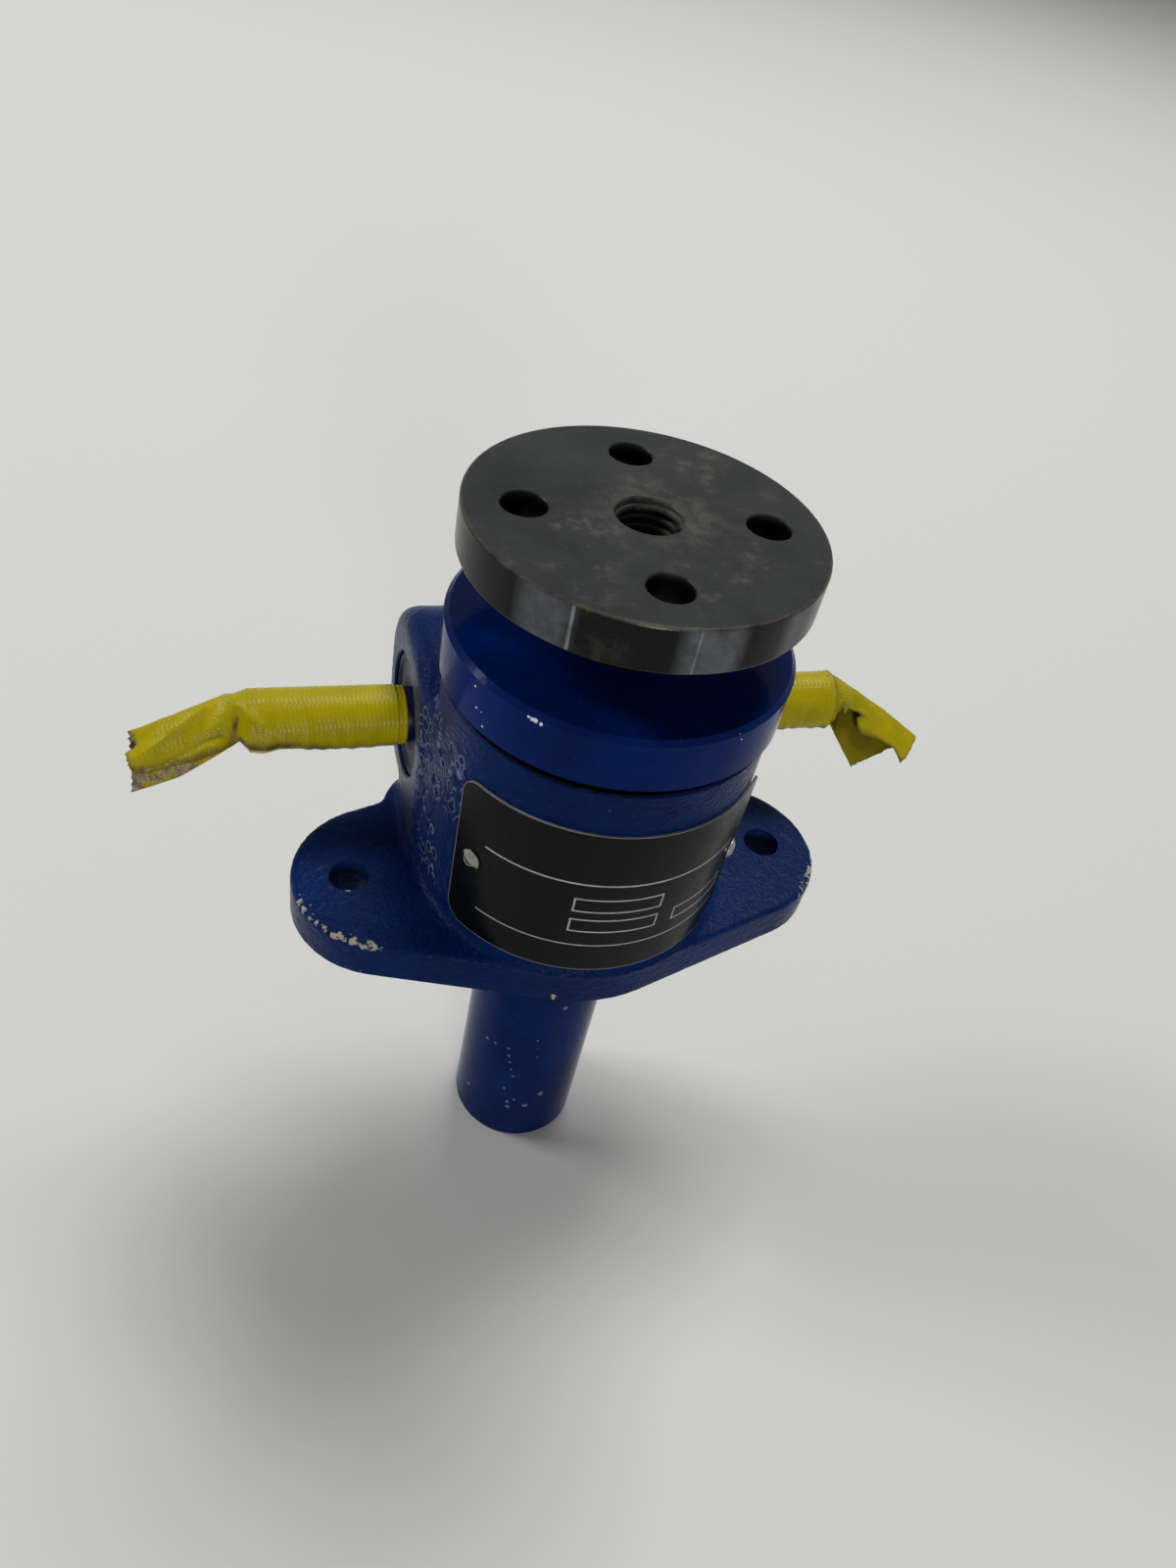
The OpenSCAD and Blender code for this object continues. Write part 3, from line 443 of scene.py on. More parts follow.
# the bolt holes narrow a little towards the underside
bolt_at, bolt_r, bolt_mouth = 50.8 * mm, 4.4 * mm, 0.1 * mm
bolt_drill = [
    (0, -5 * mm), (bolt_r - 0.6 * mm, -5 * mm), (bolt_r - 0.6 * mm, 0.5 * mm), (bolt_r, base_top - 2.6 * mm),
    (bolt_r, base_top - bolt_mouth), (bolt_r + bolt_mouth * 2, base_top + bolt_mouth),
    (0, base_top + bolt_mouth)]
casting = cut(
    casting,
    box_solid((-0.1, -0.1, -0.02), (0.1, 0.1, 0.0)),
    box_solid((-0.1, -0.1, case_top), (0.1, 0.1, 0.1)),
    rebate,
    case_bores,
    worm_bores,
    lathe(bolt_drill, 48, upright(-bolt_at, 0)),
    lathe(bolt_drill, 48, upright(bolt_at, 0)),
)
case = new_piece("gear_case", casting, "case")

# where the paint is knocked off: the base's rim, most at its front left and right ends
skin = rows_of(casting.vertices, "co")
rim = np.array(base_outline)
inset = np.array([np.min(np.linalg.norm(rim - p[:2], axis=1)) for p in skin]) / mm
level = skin[:, 2] / mm
around = np.degrees(np.arctan2(skin[:, 1], skin[:, 0])) % 360
high_rim = np.exp(-((inset / 2.4) ** 2)) * np.exp(-(((level - 9.3) / 1.5) ** 2))
low_rim = np.exp(-((inset / 2.0) ** 2)) * np.exp(-(((level - 0.8) / 1.4) ** 2))


def knocks(*spots):
    """Share of knocks round the base from (angle, spread, weight), in degrees."""
    return sum(w * np.exp(-((((around - a + 180) % 360 - 180) / d) ** 2)) for a, d, w in spots)


knocked = high_rim * knocks(
    (186, 7, 0.75), (198, 8, 1.0), (207, 5, 1.0), (216, 7, 0.7), (345, 7, 0.75), (352, 5, 0.9), (10, 8, 0.6),
    (300, 25, 0.35), (150, 18, 0.4), (30, 12, 0.4))
knocked += low_rim * knocks((253, 4, 1.0), (244, 5, 0.7), (200, 8, 0.6), (340, 8, 0.5), (100, 20, 0.4))
mark(casting, "knocked", np.clip(knocked, 0, 1))

# painted shade: the seam under the cap's overhang is darkened nearly black
reach_out = np.hypot(skin[:, 0], skin[:, 1]) / mm
in_seam = np.clip(reach_out - 30, 0, 1) * np.clip((33.9 - reach_out) / 0.5, 0, 1)
mark(casting, "seam_shade", in_seam * np.clip((level - 63.0) / 0.3, 0, 1))


def blue_paint(name, colour, roughness, peel, peel_size, chips=(), under=(0.36, 0.34, 0.30), cast=False):
    """Blue enamel on metal, with orange peel, dull clouds and dust, chipped down to what is
    under it: chips are (x, y, z, size), in millimetres. Cast skin is also rippled and blown
    into cells, with painted shade inside the cells and painted glint rings round them,
    painted highlight on its swollen crests and painted shade in its dips. It is knocked at
    its rims, and its seam under the cap is darkened as painted shade."""
    paint = Finish(name)
    cloud = paint.noise(45.0, 6.0, 0.62)
    lift = paint.noise(peel_size, 3.0)
    grit = paint.noise(900.0, 2.0, 0.7)
    rough = paint.ramp(cloud, 0.3, 0.7, roughness * 0.75, roughness * 1.3)
    hue = paint.mixed(paint.ramp(cloud, 0.35, 0.68), [c * 0.7 for c in colour], [c * 1.35 for c in colour])
    hue = paint.mixed(paint.ramp(grit, 0.70, 0.78, 0.0, 0.5), hue, (0.07, 0.09, 0.15))
    spots = []
    for *place, size in chips:
        gap = paint.vector("DISTANCE", paint.at, [v * mm for v in place])["Value"]
        ragged = paint.sums("ADD", gap, paint.ramp(grit, 0.3, 0.7, -0.5 * size * mm, 0.5 * size * mm))
        spots.append(paint.ramp(ragged, size * mm, size * 0.8 * mm))
    if cast:
        flake = paint.sums("ADD", paint.times(paint.noise(780.0, 5.0, 0.7), 0.75),
                           paint.times(paint.noise(270.0, 2.0), 0.25))
        loosened = paint.sums("ADD", paint.times(paint.marked("knocked"), 0.34), flake)
        spots.append(paint.ramp(loosened, 0.77, 0.79))
        flattened = paint.add("ShaderNodeMapping", {"Vector": paint.at, "Scale": (1.0, 1.0, 3.2)})["Vector"]
        ripple = paint.noise(300.0, 4.0, 0.55, Vector=flattened, Distortion=0.6)
        cells = paint.add("ShaderNodeTexVoronoi", {"Vector": paint.at, "Scale": 340.0})
        chance = paint.add("ShaderNodeSeparateXYZ", {"Vector": cells["Color"]})
        blown_here = paint.sums("ADD", paint.marked("blown"), paint.times(chance["X"], 0.6))
        kept = paint.ramp(blown_here, 0.74, 0.78)
        wide = paint.sums("ADD", cells["Distance"], paint.times(chance["Y"], 0.14))
        bubbled = paint.times(paint.ramp(wide, 0.50, 0.40), kept)
        # a thin band round each kept cell, for the painted glint rings
        glint_rings = paint.times(paint.ramp(wide, 0.57, 0.51), paint.ramp(wide, 0.40, 0.46), kept)
        lift = paint.sums("ADD", lift, paint.times(ripple, 1.3), paint.times(bubbled, 5.0))
    if spots:
        bare = paint.sums("MAXIMUM", *spots)
        hue = paint.mixed(bare, hue, under)
        rough = paint.sums("ADD", rough, paint.times(bare, 0.35))
        lift = paint.sums("SUBTRACT", lift, paint.times(bare, 1.5))
    if cast:
        swollen = paint.marked("swollen")
        for share, over in (
            # painted highlight: the swollen crests are lightened
            (paint.ramp(swollen, 0.45, 0.9, 0.0, 0.5), (0.02, 0.04, 0.12)),
            # painted shade: the sunken dips are darkened
            (paint.ramp(swollen, -0.15, -0.5, 0.0, 0.75), (0.0002, 0.0015, 0.010)),
            # painted shade: the blown cells' insides are darkened
            (paint.times(bubbled, 0.85), (0.0002, 0.004, 0.036)),
            # painted highlight: lighter grey-blue glint rings round the blown cells
            (paint.times(glint_rings, paint.ramp(cloud, 0.35, 0.65, 0.3, 1.0)), (0.17, 0.23, 0.40)),
            # painted shade in the seam under the cap
            (paint.marked("seam_shade"), (0.0008, 0.001, 0.002)),
        ):
            hue = paint.mixed(share, hue, over)
    paint.set(Base_Color=hue, Roughness=rough, Specular_IOR_Level=0.045, Sheen_Weight=0.06,
              Sheen_Roughness=0.25, Sheen_Tint=(0.75, 0.82, 1.0))
    paint.bump(lift, peel, 0.0003)
    return paint


coat(case, blue_paint("cast_blue", (0.0002, 0.0112, 0.072), 0.17, 0.9, 1300.0, cast=True))
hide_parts("housing")


# ---------------------------------------------------------------- Bushings and bearings
# Two bronze bushings guide the screw, ball thrust bearings carry the wheel from below and
# above, and a ball bearing sits at each end of the worm. All are pressed or dropped in.


def refinish(finish, *names):
    """Gives CAD pieces a finish made here."""
    for name in names:
        piece = nodes[name]
        for i in range(len(piece.data.materials)):
            piece.data.materials[i] = finish.material
        if not piece.data.materials:
            piece.data.materials.append(finish.material)


def bare_metal(name, colour, roughness, grain=0.15, spots=0.0, spot_colour=(0.05, 0.03, 0.02), turned=None):
    """Machined metal: fine tool marks, faint clouding, and stains or rust if asked for.
    turned gives the axis of the lathe, round which the marks run."""
    metal = Finish(name)
    cloud = metal.noise(90.0, 5.0, 0.6)
    squeeze = {None: (1, 1, 1), "Z": (0.03, 0.03, 1), "X": (1, 0.03, 0.03)}[turned]
    marks_at = metal.add("ShaderNodeMapping", {"Vector": metal.at, "Scale": squeeze})["Vector"]
    metal.bump(metal.noise(3500.0, 3.0, Vector=marks_at), grain, 0.00008)
    metal.set(Base_Color=metal.mixed(metal.ramp(cloud, 0.52, 0.72, 0.0, spots), colour, spot_colour),
              Roughness=metal.ramp(cloud, 0.3, 0.7, roughness * 0.75, roughness * 1.35), Metallic=1.0)
    return metal


bronze = bare_metal("sintered_bronze", (0.47, 0.29, 0.14), 0.42, 0.3, 0.5, (0.22, 0.12, 0.05), "Z")
refinish(bronze, "lower_bushing", "cap_bushing")
hardened = bare_metal("hardened_steel", (0.55, 0.55, 0.54), 0.22, 0.12, 0.25, (0.30, 0.27, 0.22), "Z")
refinish(hardened, "lower_case_washer", "lower_wheel_washer", "upper_case_washer", "upper_wheel_washer")
balls = bare_metal("polished_steel", (0.62, 0.62, 0.62), 0.08, 0.02)
refinish(balls, "lower_thrust_balls", "upper_thrust_balls", "left_bearing_balls", "right_bearing_balls")
cage_brass = bare_metal("pressed_brass", (0.62, 0.44, 0.18), 0.33, 0.2, 0.35, (0.33, 0.2, 0.08))
refinish(cage_brass, "lower_thrust_cage", "upper_thrust_cage", "left_bearing_cage", "right_bearing_cage")


# ---------------------------------------------------------------- Worm and worm wheel
# A four-start worm of case-hardened steel, cut and polished on its shaft, drives a bronze
# wheel whose bore is the nut of the screw. Both run in grease in the closed case. The shaft
# was painted over where it leaves the boss.

wheel_bronze = bare_metal("cast_bronze", (0.52, 0.33, 0.15), 0.34, 0.35, 0.55, (0.25, 0.14, 0.06), "Z")
refinish(wheel_bronze, "worm_wheel")
overspray_x, overspray_half = 0.0364, 0.0022
worm_steel = bare_metal("worm_steel", (0.46, 0.46, 0.47), 0.26, 0.2, 0.35, (0.22, 0.18, 0.14), "X")
along = worm_steel.add("ShaderNodeSeparateXYZ", {0: worm_steel.at})["X"]
along = worm_steel.add("ShaderNodeMath", {0: along}, operation="ABSOLUTE")[0]
sprayed = worm_steel.add("ShaderNodeMath", {0: along, 1: overspray_x, 2: overspray_half},
                         operation="COMPARE")[0]
polish = worm_steel.shader.inputs["Base Color"].links[0].from_socket
worm_steel.set(Base_Color=worm_steel.mixed(sprayed, polish, (0.0008, 0.006, 0.045)),
               Metallic=worm_steel.sums("SUBTRACT", 1.0, sprayed))
refinish(worm_steel, "worm_shaft")
race_steel = bare_metal("race_steel", (0.55, 0.55, 0.54), 0.2, 0.12, 0.2, (0.30, 0.27, 0.22), "X")
refinish(race_steel, "left_outer_race", "left_inner_race", "right_outer_race", "right_inner_race")


# ---------------------------------------------------------------- Retaining rings and oil seals
# A spring-steel ring snaps into its groove outside each worm bearing, and a rubber-faced
# seal is pressed in after it. The seals were painted over together with the case.

refinish(bare_metal("spring_steel", (0.10, 0.10, 0.11), 0.35, 0.15, 0.4, (0.16, 0.09, 0.05)),
         "left_retaining_ring", "right_retaining_ring")
seal_blue = blue_paint("seal_blue", (0.022, 0.030, 0.048), 0.35, 0.35, 1200.0)
refinish(seal_blue, "left_oil_seal", "right_oil_seal")


# ---------------------------------------------------------------- Bearing cap, wiper and lock screws
# The steel cap screws into the case's mouth on a fine thread, holds the upper bearing, and
# is locked by two grub screws. It is turned smooth, bevelled, and painted glossy.

cap_chips = [
    (-23.94, -25.53, 75.94, 0.65), (-22.9, -26.5, 75.8, 0.35), (-24.8, -24.7, 76.1, 0.3),
    (-31.6, -15.1, 70.4, 0.2), (12.9, -32.5, 76.8, 0.25), (13.7, -32.2, 75.2, 0.2),
    (-32, -14.1, 74.6, 0.22), (-30.9, -16.4, 70.3, 0.18), (-30.6, -17.1, 67.5, 0.22)]
cap_blue = blue_paint("cap_blue", (0.0001, 0.0110, 0.088), 0.11, 0.16, 700.0,
                     cap_chips, under=(0.62, 0.63, 0.62))
refinish(cap_blue, "bearing_cap")
felt = Finish("felt_wiper")
fuzz = felt.noise(900.0, 5.0, 0.75)
felt.set(Base_Color=felt.mixed(fuzz, (0.035, 0.024, 0.014), (0.13, 0.09, 0.055)), Roughness=0.9)
felt.bump(fuzz, 0.8, 0.0003)
refinish(felt, "screw_wiper")
black_screws = bare_metal("black_screws", (0.035, 0.035, 0.038), 0.36, 0.2, 0.5, (0.12, 0.10, 0.08))
refinish(black_screws, "cap_lock_screws", "plate_set_screw")


# ---------------------------------------------------------------- Protection tube and plug
# Steel tube pressed up into the foot of the case to cover the lowered screw, closed by a
# plug, and painted with the case. Handling has scratched and chipped it low down.

tube_chips = [
    (-9.6, -13.6, -48, 0.4), (-9.2, -13.9, -50.9, 0.4), (-8.7, -14.2, -53.8, 0.4), (-8, -14.7, -56.7, 0.4),
    (-7.3, -15, -59.6, 0.4), (1.2, -16.7, -67.9, 0.9), (1.7, -16.6, -28.2, 0.7), (-15.7, -5.6, -76, 0.8),
    (-2.5, -16.5, -73.3, 0.7), (-6.7, -15.3, -74.7, 0.6), (-7.2, -15, -72.4, 0.5),
    (-5.7, -15.7, -70.7, 0.4), (-14.2, -8.8, -49.3, 0.6), (-12.6, -10.9, -48.7, 0.5),
    (-3.3, -16.4, -41.8, 0.3), (-2.8, -16.5, -45.3, 0.3), (-2.4, -16.5, -49.4, 0.3),
    (-8.7, -14.2, -66.3, 0.5), (14, -9, -40, 0.7), (6, 15.6, -60, 0.9), (3, 16.4, -56, 0.5)]
tube_blue = blue_paint("tube_blue", (0.0002, 0.0115, 0.076), 0.14, 0.12, 600.0,
                      tube_chips, under=(0.10, 0.14, 0.23))
refinish(tube_blue, "protection_tube", "tube_plug")


# ---------------------------------------------------------------- Lifting screw, stop and pin
# Rolled steel screw with a single trapezoidal thread, oiled, whose plain stud carries the
# top plate. A collar pinned at its lower end keeps it from leaving the wheel.


def thread_tree():
    """Geometry Nodes: a ridge of a four-sided profile wound on a helix about Z."""
    tree = bpy.data.node_groups.new("wound_thread", "GeometryNodeTree")
    for label in ("Radius", "Pitch", "Length", "Start", "Deep", "Wide", "Turn"):
        tree.interface.new_socket(label, in_out="INPUT", socket_type="NodeSocketFloat")
    tree.interface.new_socket("Thread", in_out="OUTPUT", socket_type="NodeSocketGeometry")
    given = put(tree, "NodeGroupInput")
    turns = put(tree, "ShaderNodeMath", {0: given["Length"], 1: given["Pitch"]}, operation="DIVIDE")[0]
    helix = put(tree, "GeometryNodeCurveSpiral", {
        "Resolution": 56, "Rotations": turns, "Start Radius": given["Radius"],
        "End Radius": given["Radius"], "Height": given["Length"]})[0]
    helix = put(tree, "GeometryNodeSetCurveNormal", {"Curve": helix}, mode="Z_UP")[0]
    profile = put(tree, "GeometryNodeCurvePrimitiveCircle", {"Resolution": 4, "Radius": 1.0},
                  mode="RADIUS")["Curve"]
    turned = put(tree, "ShaderNodeCombineXYZ", {"Z": given["Turn"]})[0]
    profile = put(tree, "GeometryNodeTransform", {"Geometry": profile, "Rotation": turned})[0]
    size = put(tree, "ShaderNodeCombineXYZ", {"X": given["Deep"], "Y": given["Wide"], "Z": 1.0})[0]
    profile = put(tree, "GeometryNodeTransform", {"Geometry": profile, "Scale": size})[0]
    ridge = put(tree, "GeometryNodeCurveToMesh", {"Curve": helix, "Profile Curve": profile,
                                                  "Fill Caps": True})[0]
    lift = put(tree, "ShaderNodeCombineXYZ", {"Z": given["Start"]})[0]
    ridge = put(tree, "GeometryNodeTransform", {"Geometry": ridge, "Translation": lift})[0]
    ridge = put(tree, "GeometryNodeRealizeInstances", {"Geometry": ridge})[0]
    tree.links.new(ridge, tree.nodes.new("NodeGroupOutput").inputs[0])
    return tree


wound_thread = thread_tree()


def thread_mesh(**sizes):
    """Mesh of one thread ridge, from the named sizes of the tree."""
    holder = bpy.data.objects.new("thread", bpy.data.meshes.new("thread"))
    bpy.context.scene.collection.objects.link(holder)
    mod = holder.modifiers.new("thread", "NODES")
    mod.node_group = wound_thread
    for item in wound_thread.interface.items_tree:
        if item.in_out == "INPUT" and item.name in sizes:
            mod[item.identifier] = sizes[item.name]
    mesh = bpy.data.meshes.new_from_object(holder.evaluated_get(bpy.context.evaluated_depsgraph_get()))
    bpy.data.objects.remove(holder)
    return mesh


def joined(name, *meshes):
    """One mesh out of several, all facing outwards."""
    bm = bmesh.new()
    for mesh in meshes:
        bm.from_mesh(mesh)
    bmesh.ops.recalc_face_normals(bm, faces=bm.faces)
    whole = bpy.data.meshes.new(name)
    bm.to_mesh(whole)
    bm.free()
    return whole


screw_r, core_r, lead = 7.95 * mm, 6.3 * mm, 3.175 * mm
screw_low, screw_high, stud_r, stud_high = -77.0 * mm, 80.08 * mm, 6.35 * mm, 91.5 * mm
screw_core = mesh_of("screw_core", lathe([
    (0, screw_low), (core_r, screw_low), (core_r, screw_high - 7 * mm), (screw_r, screw_high - 6 * mm),
    (screw_r, screw_high), (stud_r, screw_high + 0.01 * mm), (stud_r, stud_high - 0.6 * mm),
    (stud_r - 0.6 * mm, stud_high), (0, stud_high),
], 72))
screw_ridge = thread_mesh(
    Radius=core_r, Pitch=lead, Length=screw_high - screw_low - 9 * mm, Start=screw_low + 1.2 * mm,
    Deep=(screw_r - core_r) * math.sqrt(2), Wide=0.27 * lead * math.sqrt(2), Turn=math.pi / 4)
screw = new_piece("threaded_screw", joined("threaded_screw", screw_core, screw_ridge), "screw")
screw_steel = bare_metal("screw_steel", (0.17, 0.17, 0.17), 0.34, 0.25, 0.6, (0.11, 0.085, 0.06), "Z")
coat(screw, screw_steel)
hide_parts("lifting_screw")
refinish(screw_steel, "screw_stop")
refinish(hardened, "stop_pin")


# ---------------------------------------------------------------- Top plate
# Mild steel flange on a hub, turned, drilled and tapped right through, then chemically
# blackened. It turns on to the screw's stud and a set screw in the hub holds it.


def outwards(turn, height):
    """Lays a turned solid on its side, facing out from the middle at a turn and a height."""
    c, s = math.cos(turn), math.sin(turn)
    return lambda a, b, r: (r * c - a * s, r * s + a * c, height + b)


hub_low, hub_r, plate_low, plate_high, plate_r = 80.1 * mm, 15.9 * mm, 92.1 * mm, 101.6 * mm, 34.4 * mm
tap_r, tap_core_r, tap_pitch = 6.42 * mm, 5.4 * mm, 1.954 * mm
plate_turn, bolt_circle_r, plate_bolt_r = math.radians(-8.3), 23 * mm, 4.4 * mm
set_r, set_turn, set_height = 2.43 * mm, math.radians(60), 86.1 * mm
plate_blank = lathe([
    (0, hub_low), (hub_r - 0.5 * mm, hub_low), (hub_r, hub_low + 0.5 * mm), (hub_r, plate_low - 0.8 * mm),
    (hub_r + 0.8 * mm, plate_low), (plate_r - 0.5 * mm, plate_low),
    (plate_r - 0.15 * mm, plate_low + 0.15 * mm), (plate_r, plate_low + 0.5 * mm),
    (plate_r, plate_high - 0.6 * mm), (plate_r - 0.18 * mm, plate_high - 0.18 * mm),
    (plate_r - 0.6 * mm, plate_high), (0, plate_high),
], 192)
drills = [lathe([(0, hub_low - 1 * mm), (tap_r, hub_low - 1 * mm), (tap_r, plate_high - 0.3 * mm),
                 (tap_r + 0.6 * mm, plate_high + 0.3 * mm), (0, plate_high + 0.3 * mm)], 72)]
plate_drill = [
    (0, plate_low - 1 * mm), (plate_bolt_r, plate_low - 1 * mm), (plate_bolt_r, plate_high - 0.25 * mm),
    (plate_bolt_r + 0.5 * mm, plate_high + 0.25 * mm), (0, plate_high + 0.25 * mm)]
for k in range(4):
    a = plate_turn + k * math.pi / 2
    drills.append(lathe(plate_drill, 48, upright(bolt_circle_r * math.cos(a), bolt_circle_r * math.sin(a))))
drills.append(lathe([(0, 0), (set_r, 0), (set_r, 17 * mm), (0, 17 * mm)], 32, outwards(set_turn, set_height)))
plate_body = cut(mesh_of("plate_body", plate_blank), *drills)
plate_thread = thread_mesh(
    Radius=tap_r, Pitch=tap_pitch, Length=plate_high - stud_high - 2.1 * mm, Start=stud_high + 0.9 * mm,
    Deep=tap_r - tap_core_r, Wide=0.47 * tap_pitch, Turn=0.0)
plate = new_piece("mounting_plate", joined("mounting_plate", plate_body, plate_thread), "screw")

black = Finish("black_oxide")
cloud, smear = black.noise(38.0, 7.0, 0.65), black.noise(210.0, 8.0, 0.72)
broad, specks = black.noise(75.0, 2.0), black.noise(2300.0, 1.0)
pits = black.add("ShaderNodeTexVoronoi", {"Vector": black.at, "Scale": 520.0})["Distance"]
from_mouth = black.vector("DISTANCE", black.at, (0.0035, 0.0020, 0.1016))["Value"]
out = black.vector("LENGTH", black.vector("MULTIPLY", black.at, (1, 1, 0))[0])["Value"]
split = black.add("ShaderNodeSeparateXYZ", {"Vector": black.at})
turn = black.times(black.sums("ARCTAN2", split["Y"], split["X"]), 180 / math.pi)

# round the tapped hole it is handled, elsewhere rubbed; the rim's edge is worn
wall = black.ramp(out, 0.0342, 0.0344)
handled = black.times(black.ramp(from_mouth, 0.016, 0.0065), black.ramp(smear, 0.45, 0.62), 0.5)
rubbed = black.times(black.ramp(broad, 0.50, 0.62), black.ramp(smear, 0.50, 0.62, 0.0, 0.5))
scuffed = black.times(black.sums("MAXIMUM", handled, rubbed, black.ramp(specks, 0.76, 0.80)),
                      black.ramp(wall, 0.0, 1.0, 1.0, 0.35))
edge = black.times(black.ramp(out, 0.0337, 0.0340), black.ramp(split["Z"], 0.1010, 0.1013),
                   black.ramp(smear, 0.35, 0.6))
# painted shade: the bolt holes' walls are darkened nearly black
hole_wall_shade = black.times(black.ramp(out, 0.010, 0.012), black.ramp(out, 0.0300, 0.0290),
                   black.ramp(split["Z"], 0.1013, 0.1004), black.ramp(split["Z"], 0.0921, 0.0924), 0.9)

# painted reflections across the wall, lighter and metallic, as bands: (from, to, soft edge, share), in
# degrees
reflection_bands = []
for low, high, soft, amount in ((-145, -129, 3.0, 0.32), (-128.9, -127.9, 0.3, 0.9), (-97, -79, 2.5, 0.36),
                                (-93.0, -92.2, 0.3, 0.8), (-62, -55, 3.0, 0.25), (20, 60, 8.0, 0.3)):
    reflection_bands.append(black.times(black.ramp(turn, low - soft, low + soft),
                             black.ramp(turn, high + soft, high - soft), amount))
painted_reflections = black.times(black.sums("MAXIMUM", *reflection_bands), wall, black.ramp(smear, 0.25, 0.6, 0.3, 1.0))
# painted shade: the side wall keeps little of the clouding, so it stays darker than the top
cloud_and_wall_shade = black.times(black.ramp(cloud, 0.3, 0.7), black.ramp(wall, 0.0, 1.0, 1.0, 0.07))
hue = black.mixed(cloud_and_wall_shade, (0.0025, 0.003, 0.0035), (0.027, 0.031, 0.0305))
for share, over in ((scuffed, (0.095, 0.083, 0.064)), (edge, (0.075, 0.062, 0.045)),
                    (hole_wall_shade, (0.0006, 0.0007, 0.0008)), (painted_reflections, (0.28, 0.29, 0.31))):
    hue = black.mixed(share, hue, over)
satin = black.times(black.ramp(smear, 0.3, 0.75, 0.30, 0.46), black.ramp(wall, 0.0, 1.0, 1.0, 0.55))
black.set(Base_Color=hue, Metallic=painted_reflections, Roughness=satin, Specular_IOR_Level=0.12)
black.bump(black.sums("ADD", black.ramp(pits, 0.0, 0.12), smear), 0.12, 0.0002)
coat(plate, black)
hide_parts("top_plate")


# ---------------------------------------------------------------- Grease fitting
# Zinc-plated steel nipple, bought in and screwed into the back of the worm boss. Grease
# pumped in here reaches the worm and the wheel.

refinish(bare_metal("zinc_plate", (0.60, 0.58, 0.52), 0.28, 0.15, 0.4, (0.45, 0.38, 0.22)), "grease_fitting")


# ---------------------------------------------------------------- Nameplate and rivets
# Thin anodised aluminium strip with rounded corners, rolled to the round of the case and
# held by two headed rivets. Its right end has sprung a little off. It carries no words.

name_r, name_long, name_high, name_low, name_thick = 34.05 * mm, 75.2 * mm, 40.8 * mm, 12.2 * mm, 0.5 * mm
name_middle, name_corner, name_steps = math.radians(-92.9), 4.5 * mm, 120
rounding = name_corner * (1 - np.cos(np.linspace(0, math.pi / 2, 9)))
outline_v = np.concatenate([
    rounding,
    np.linspace(name_corner, name_high - name_corner, 9)[1:-1],
    name_high - rounding[::-1],
])


def skin_over(bm, rows, flat_uv):
    """Faces between rows of (point, flat u, flat v), carrying the flat map."""
    for row, above in zip(rows, rows[1:]):
        for k in range(len(row) - 1):
            corners = [row[k], row[k + 1], above[k + 1], above[k]]
            face = bm.faces.new([c[0] for c in corners])
            for loop, c in zip(face.loops, corners):
                loop[flat_uv].uv = c[1:]


bm = bmesh.new()
flat_uv = bm.loops.layers.uv.new("flat")
rows = []
for v in outline_v:
    into = max(0.0, name_corner - min(v, name_high - v))
    half = name_long / 2 - name_corner + math.sqrt(max(0.0, name_corner**2 - into**2))
    row = []
    for k in range(name_steps + 1):
        u = -half + 2 * half * k / name_steps
        turn = name_middle + u / name_r
        sprung = max(0.0, (math.degrees(turn) + 42.0) / 12.4)
        edge = 0.35 * max(0.0, 1 - abs(v - name_high / 2) / (name_high / 2)) if abs(u) > half - 2 * mm else 0
        r = name_r + 0.6 * mm * sprung**2 * (0.7 + 0.3 * v / name_high) + 0.02 * mm * edge
        point = bm.verts.new((r * math.cos(turn), r * math.sin(turn), name_low + v))
        row.append((point, u / name_long + 0.5, v / name_high))
    rows.append(row)
skin_over(bm, rows, flat_uv)
name_sheet = bpy.data.meshes.new("name_sheet")
bm.to_mesh(name_sheet)
bm.free()
name_sheet = worked(name_sheet, ("SOLIDIFY", {"thickness": name_thick, "offset": 1.0,
                                              "material_offset": 0, "material_offset_rim": 1}))
nameplate = new_piece("blank_nameplate", name_sheet, "case")

anodised = Finish("anodised_black")
flat = anodised.add("ShaderNodeUVMap", uv_map="flat")["UV"]
split = anodised.add("ShaderNodeSeparateXYZ", {"Vector": flat})
name_wide, name_tall = name_long / mm, name_high / mm


def within(value, low, high, soft):
    """1 between two values and 0 outside, over a soft edge."""
    return anodised.times(anodised.ramp(value, low - soft, low + soft),
                          anodised.ramp(value, high + soft, high - soft))


def field(x0, x1, y0, y1):
    """Share of a bare field, in millimetres from the plate's middle and its lower edge."""
    return anodised.times(within(split["X"], x0 / name_wide + 0.5, x1 / name_wide + 0.5, 0.0012),
                          within(split["Y"], y0 / name_tall, y1 / name_tall, 0.0022))


line = 0.35
bare_lines_and_rim_glint = []
for x0, x1, y0, y1 in ((-9.5, 9.5, 18.6, 22.6), (-9.5, 9.5, 12.4, 16.4), (13.5, 29.5, 12.4, 16.4)):
    box, inside = field(x0, x1, y0, y1), field(x0 + line, x1 - line, y0 + line, y1 - line)
    bare_lines_and_rim_glint.append(anodised.add("ShaderNodeMath", {0: box, 1: inside},
                                   operation="SUBTRACT", use_clamp=True)[0])
bare_lines_and_rim_glint += [field(-29.5, 29.5, 26.6, 27.0), field(-29.5, 29.5, 8.0, 8.3)]
from_middle = anodised.vector("SUBTRACT", flat, (0.5, 0.5, 0.0))[0]
from_middle = anodised.vector("MULTIPLY", from_middle, (name_wide, name_tall, 0.0))[0]
from_middle = anodised.vector("ABSOLUTE", from_middle)[0]
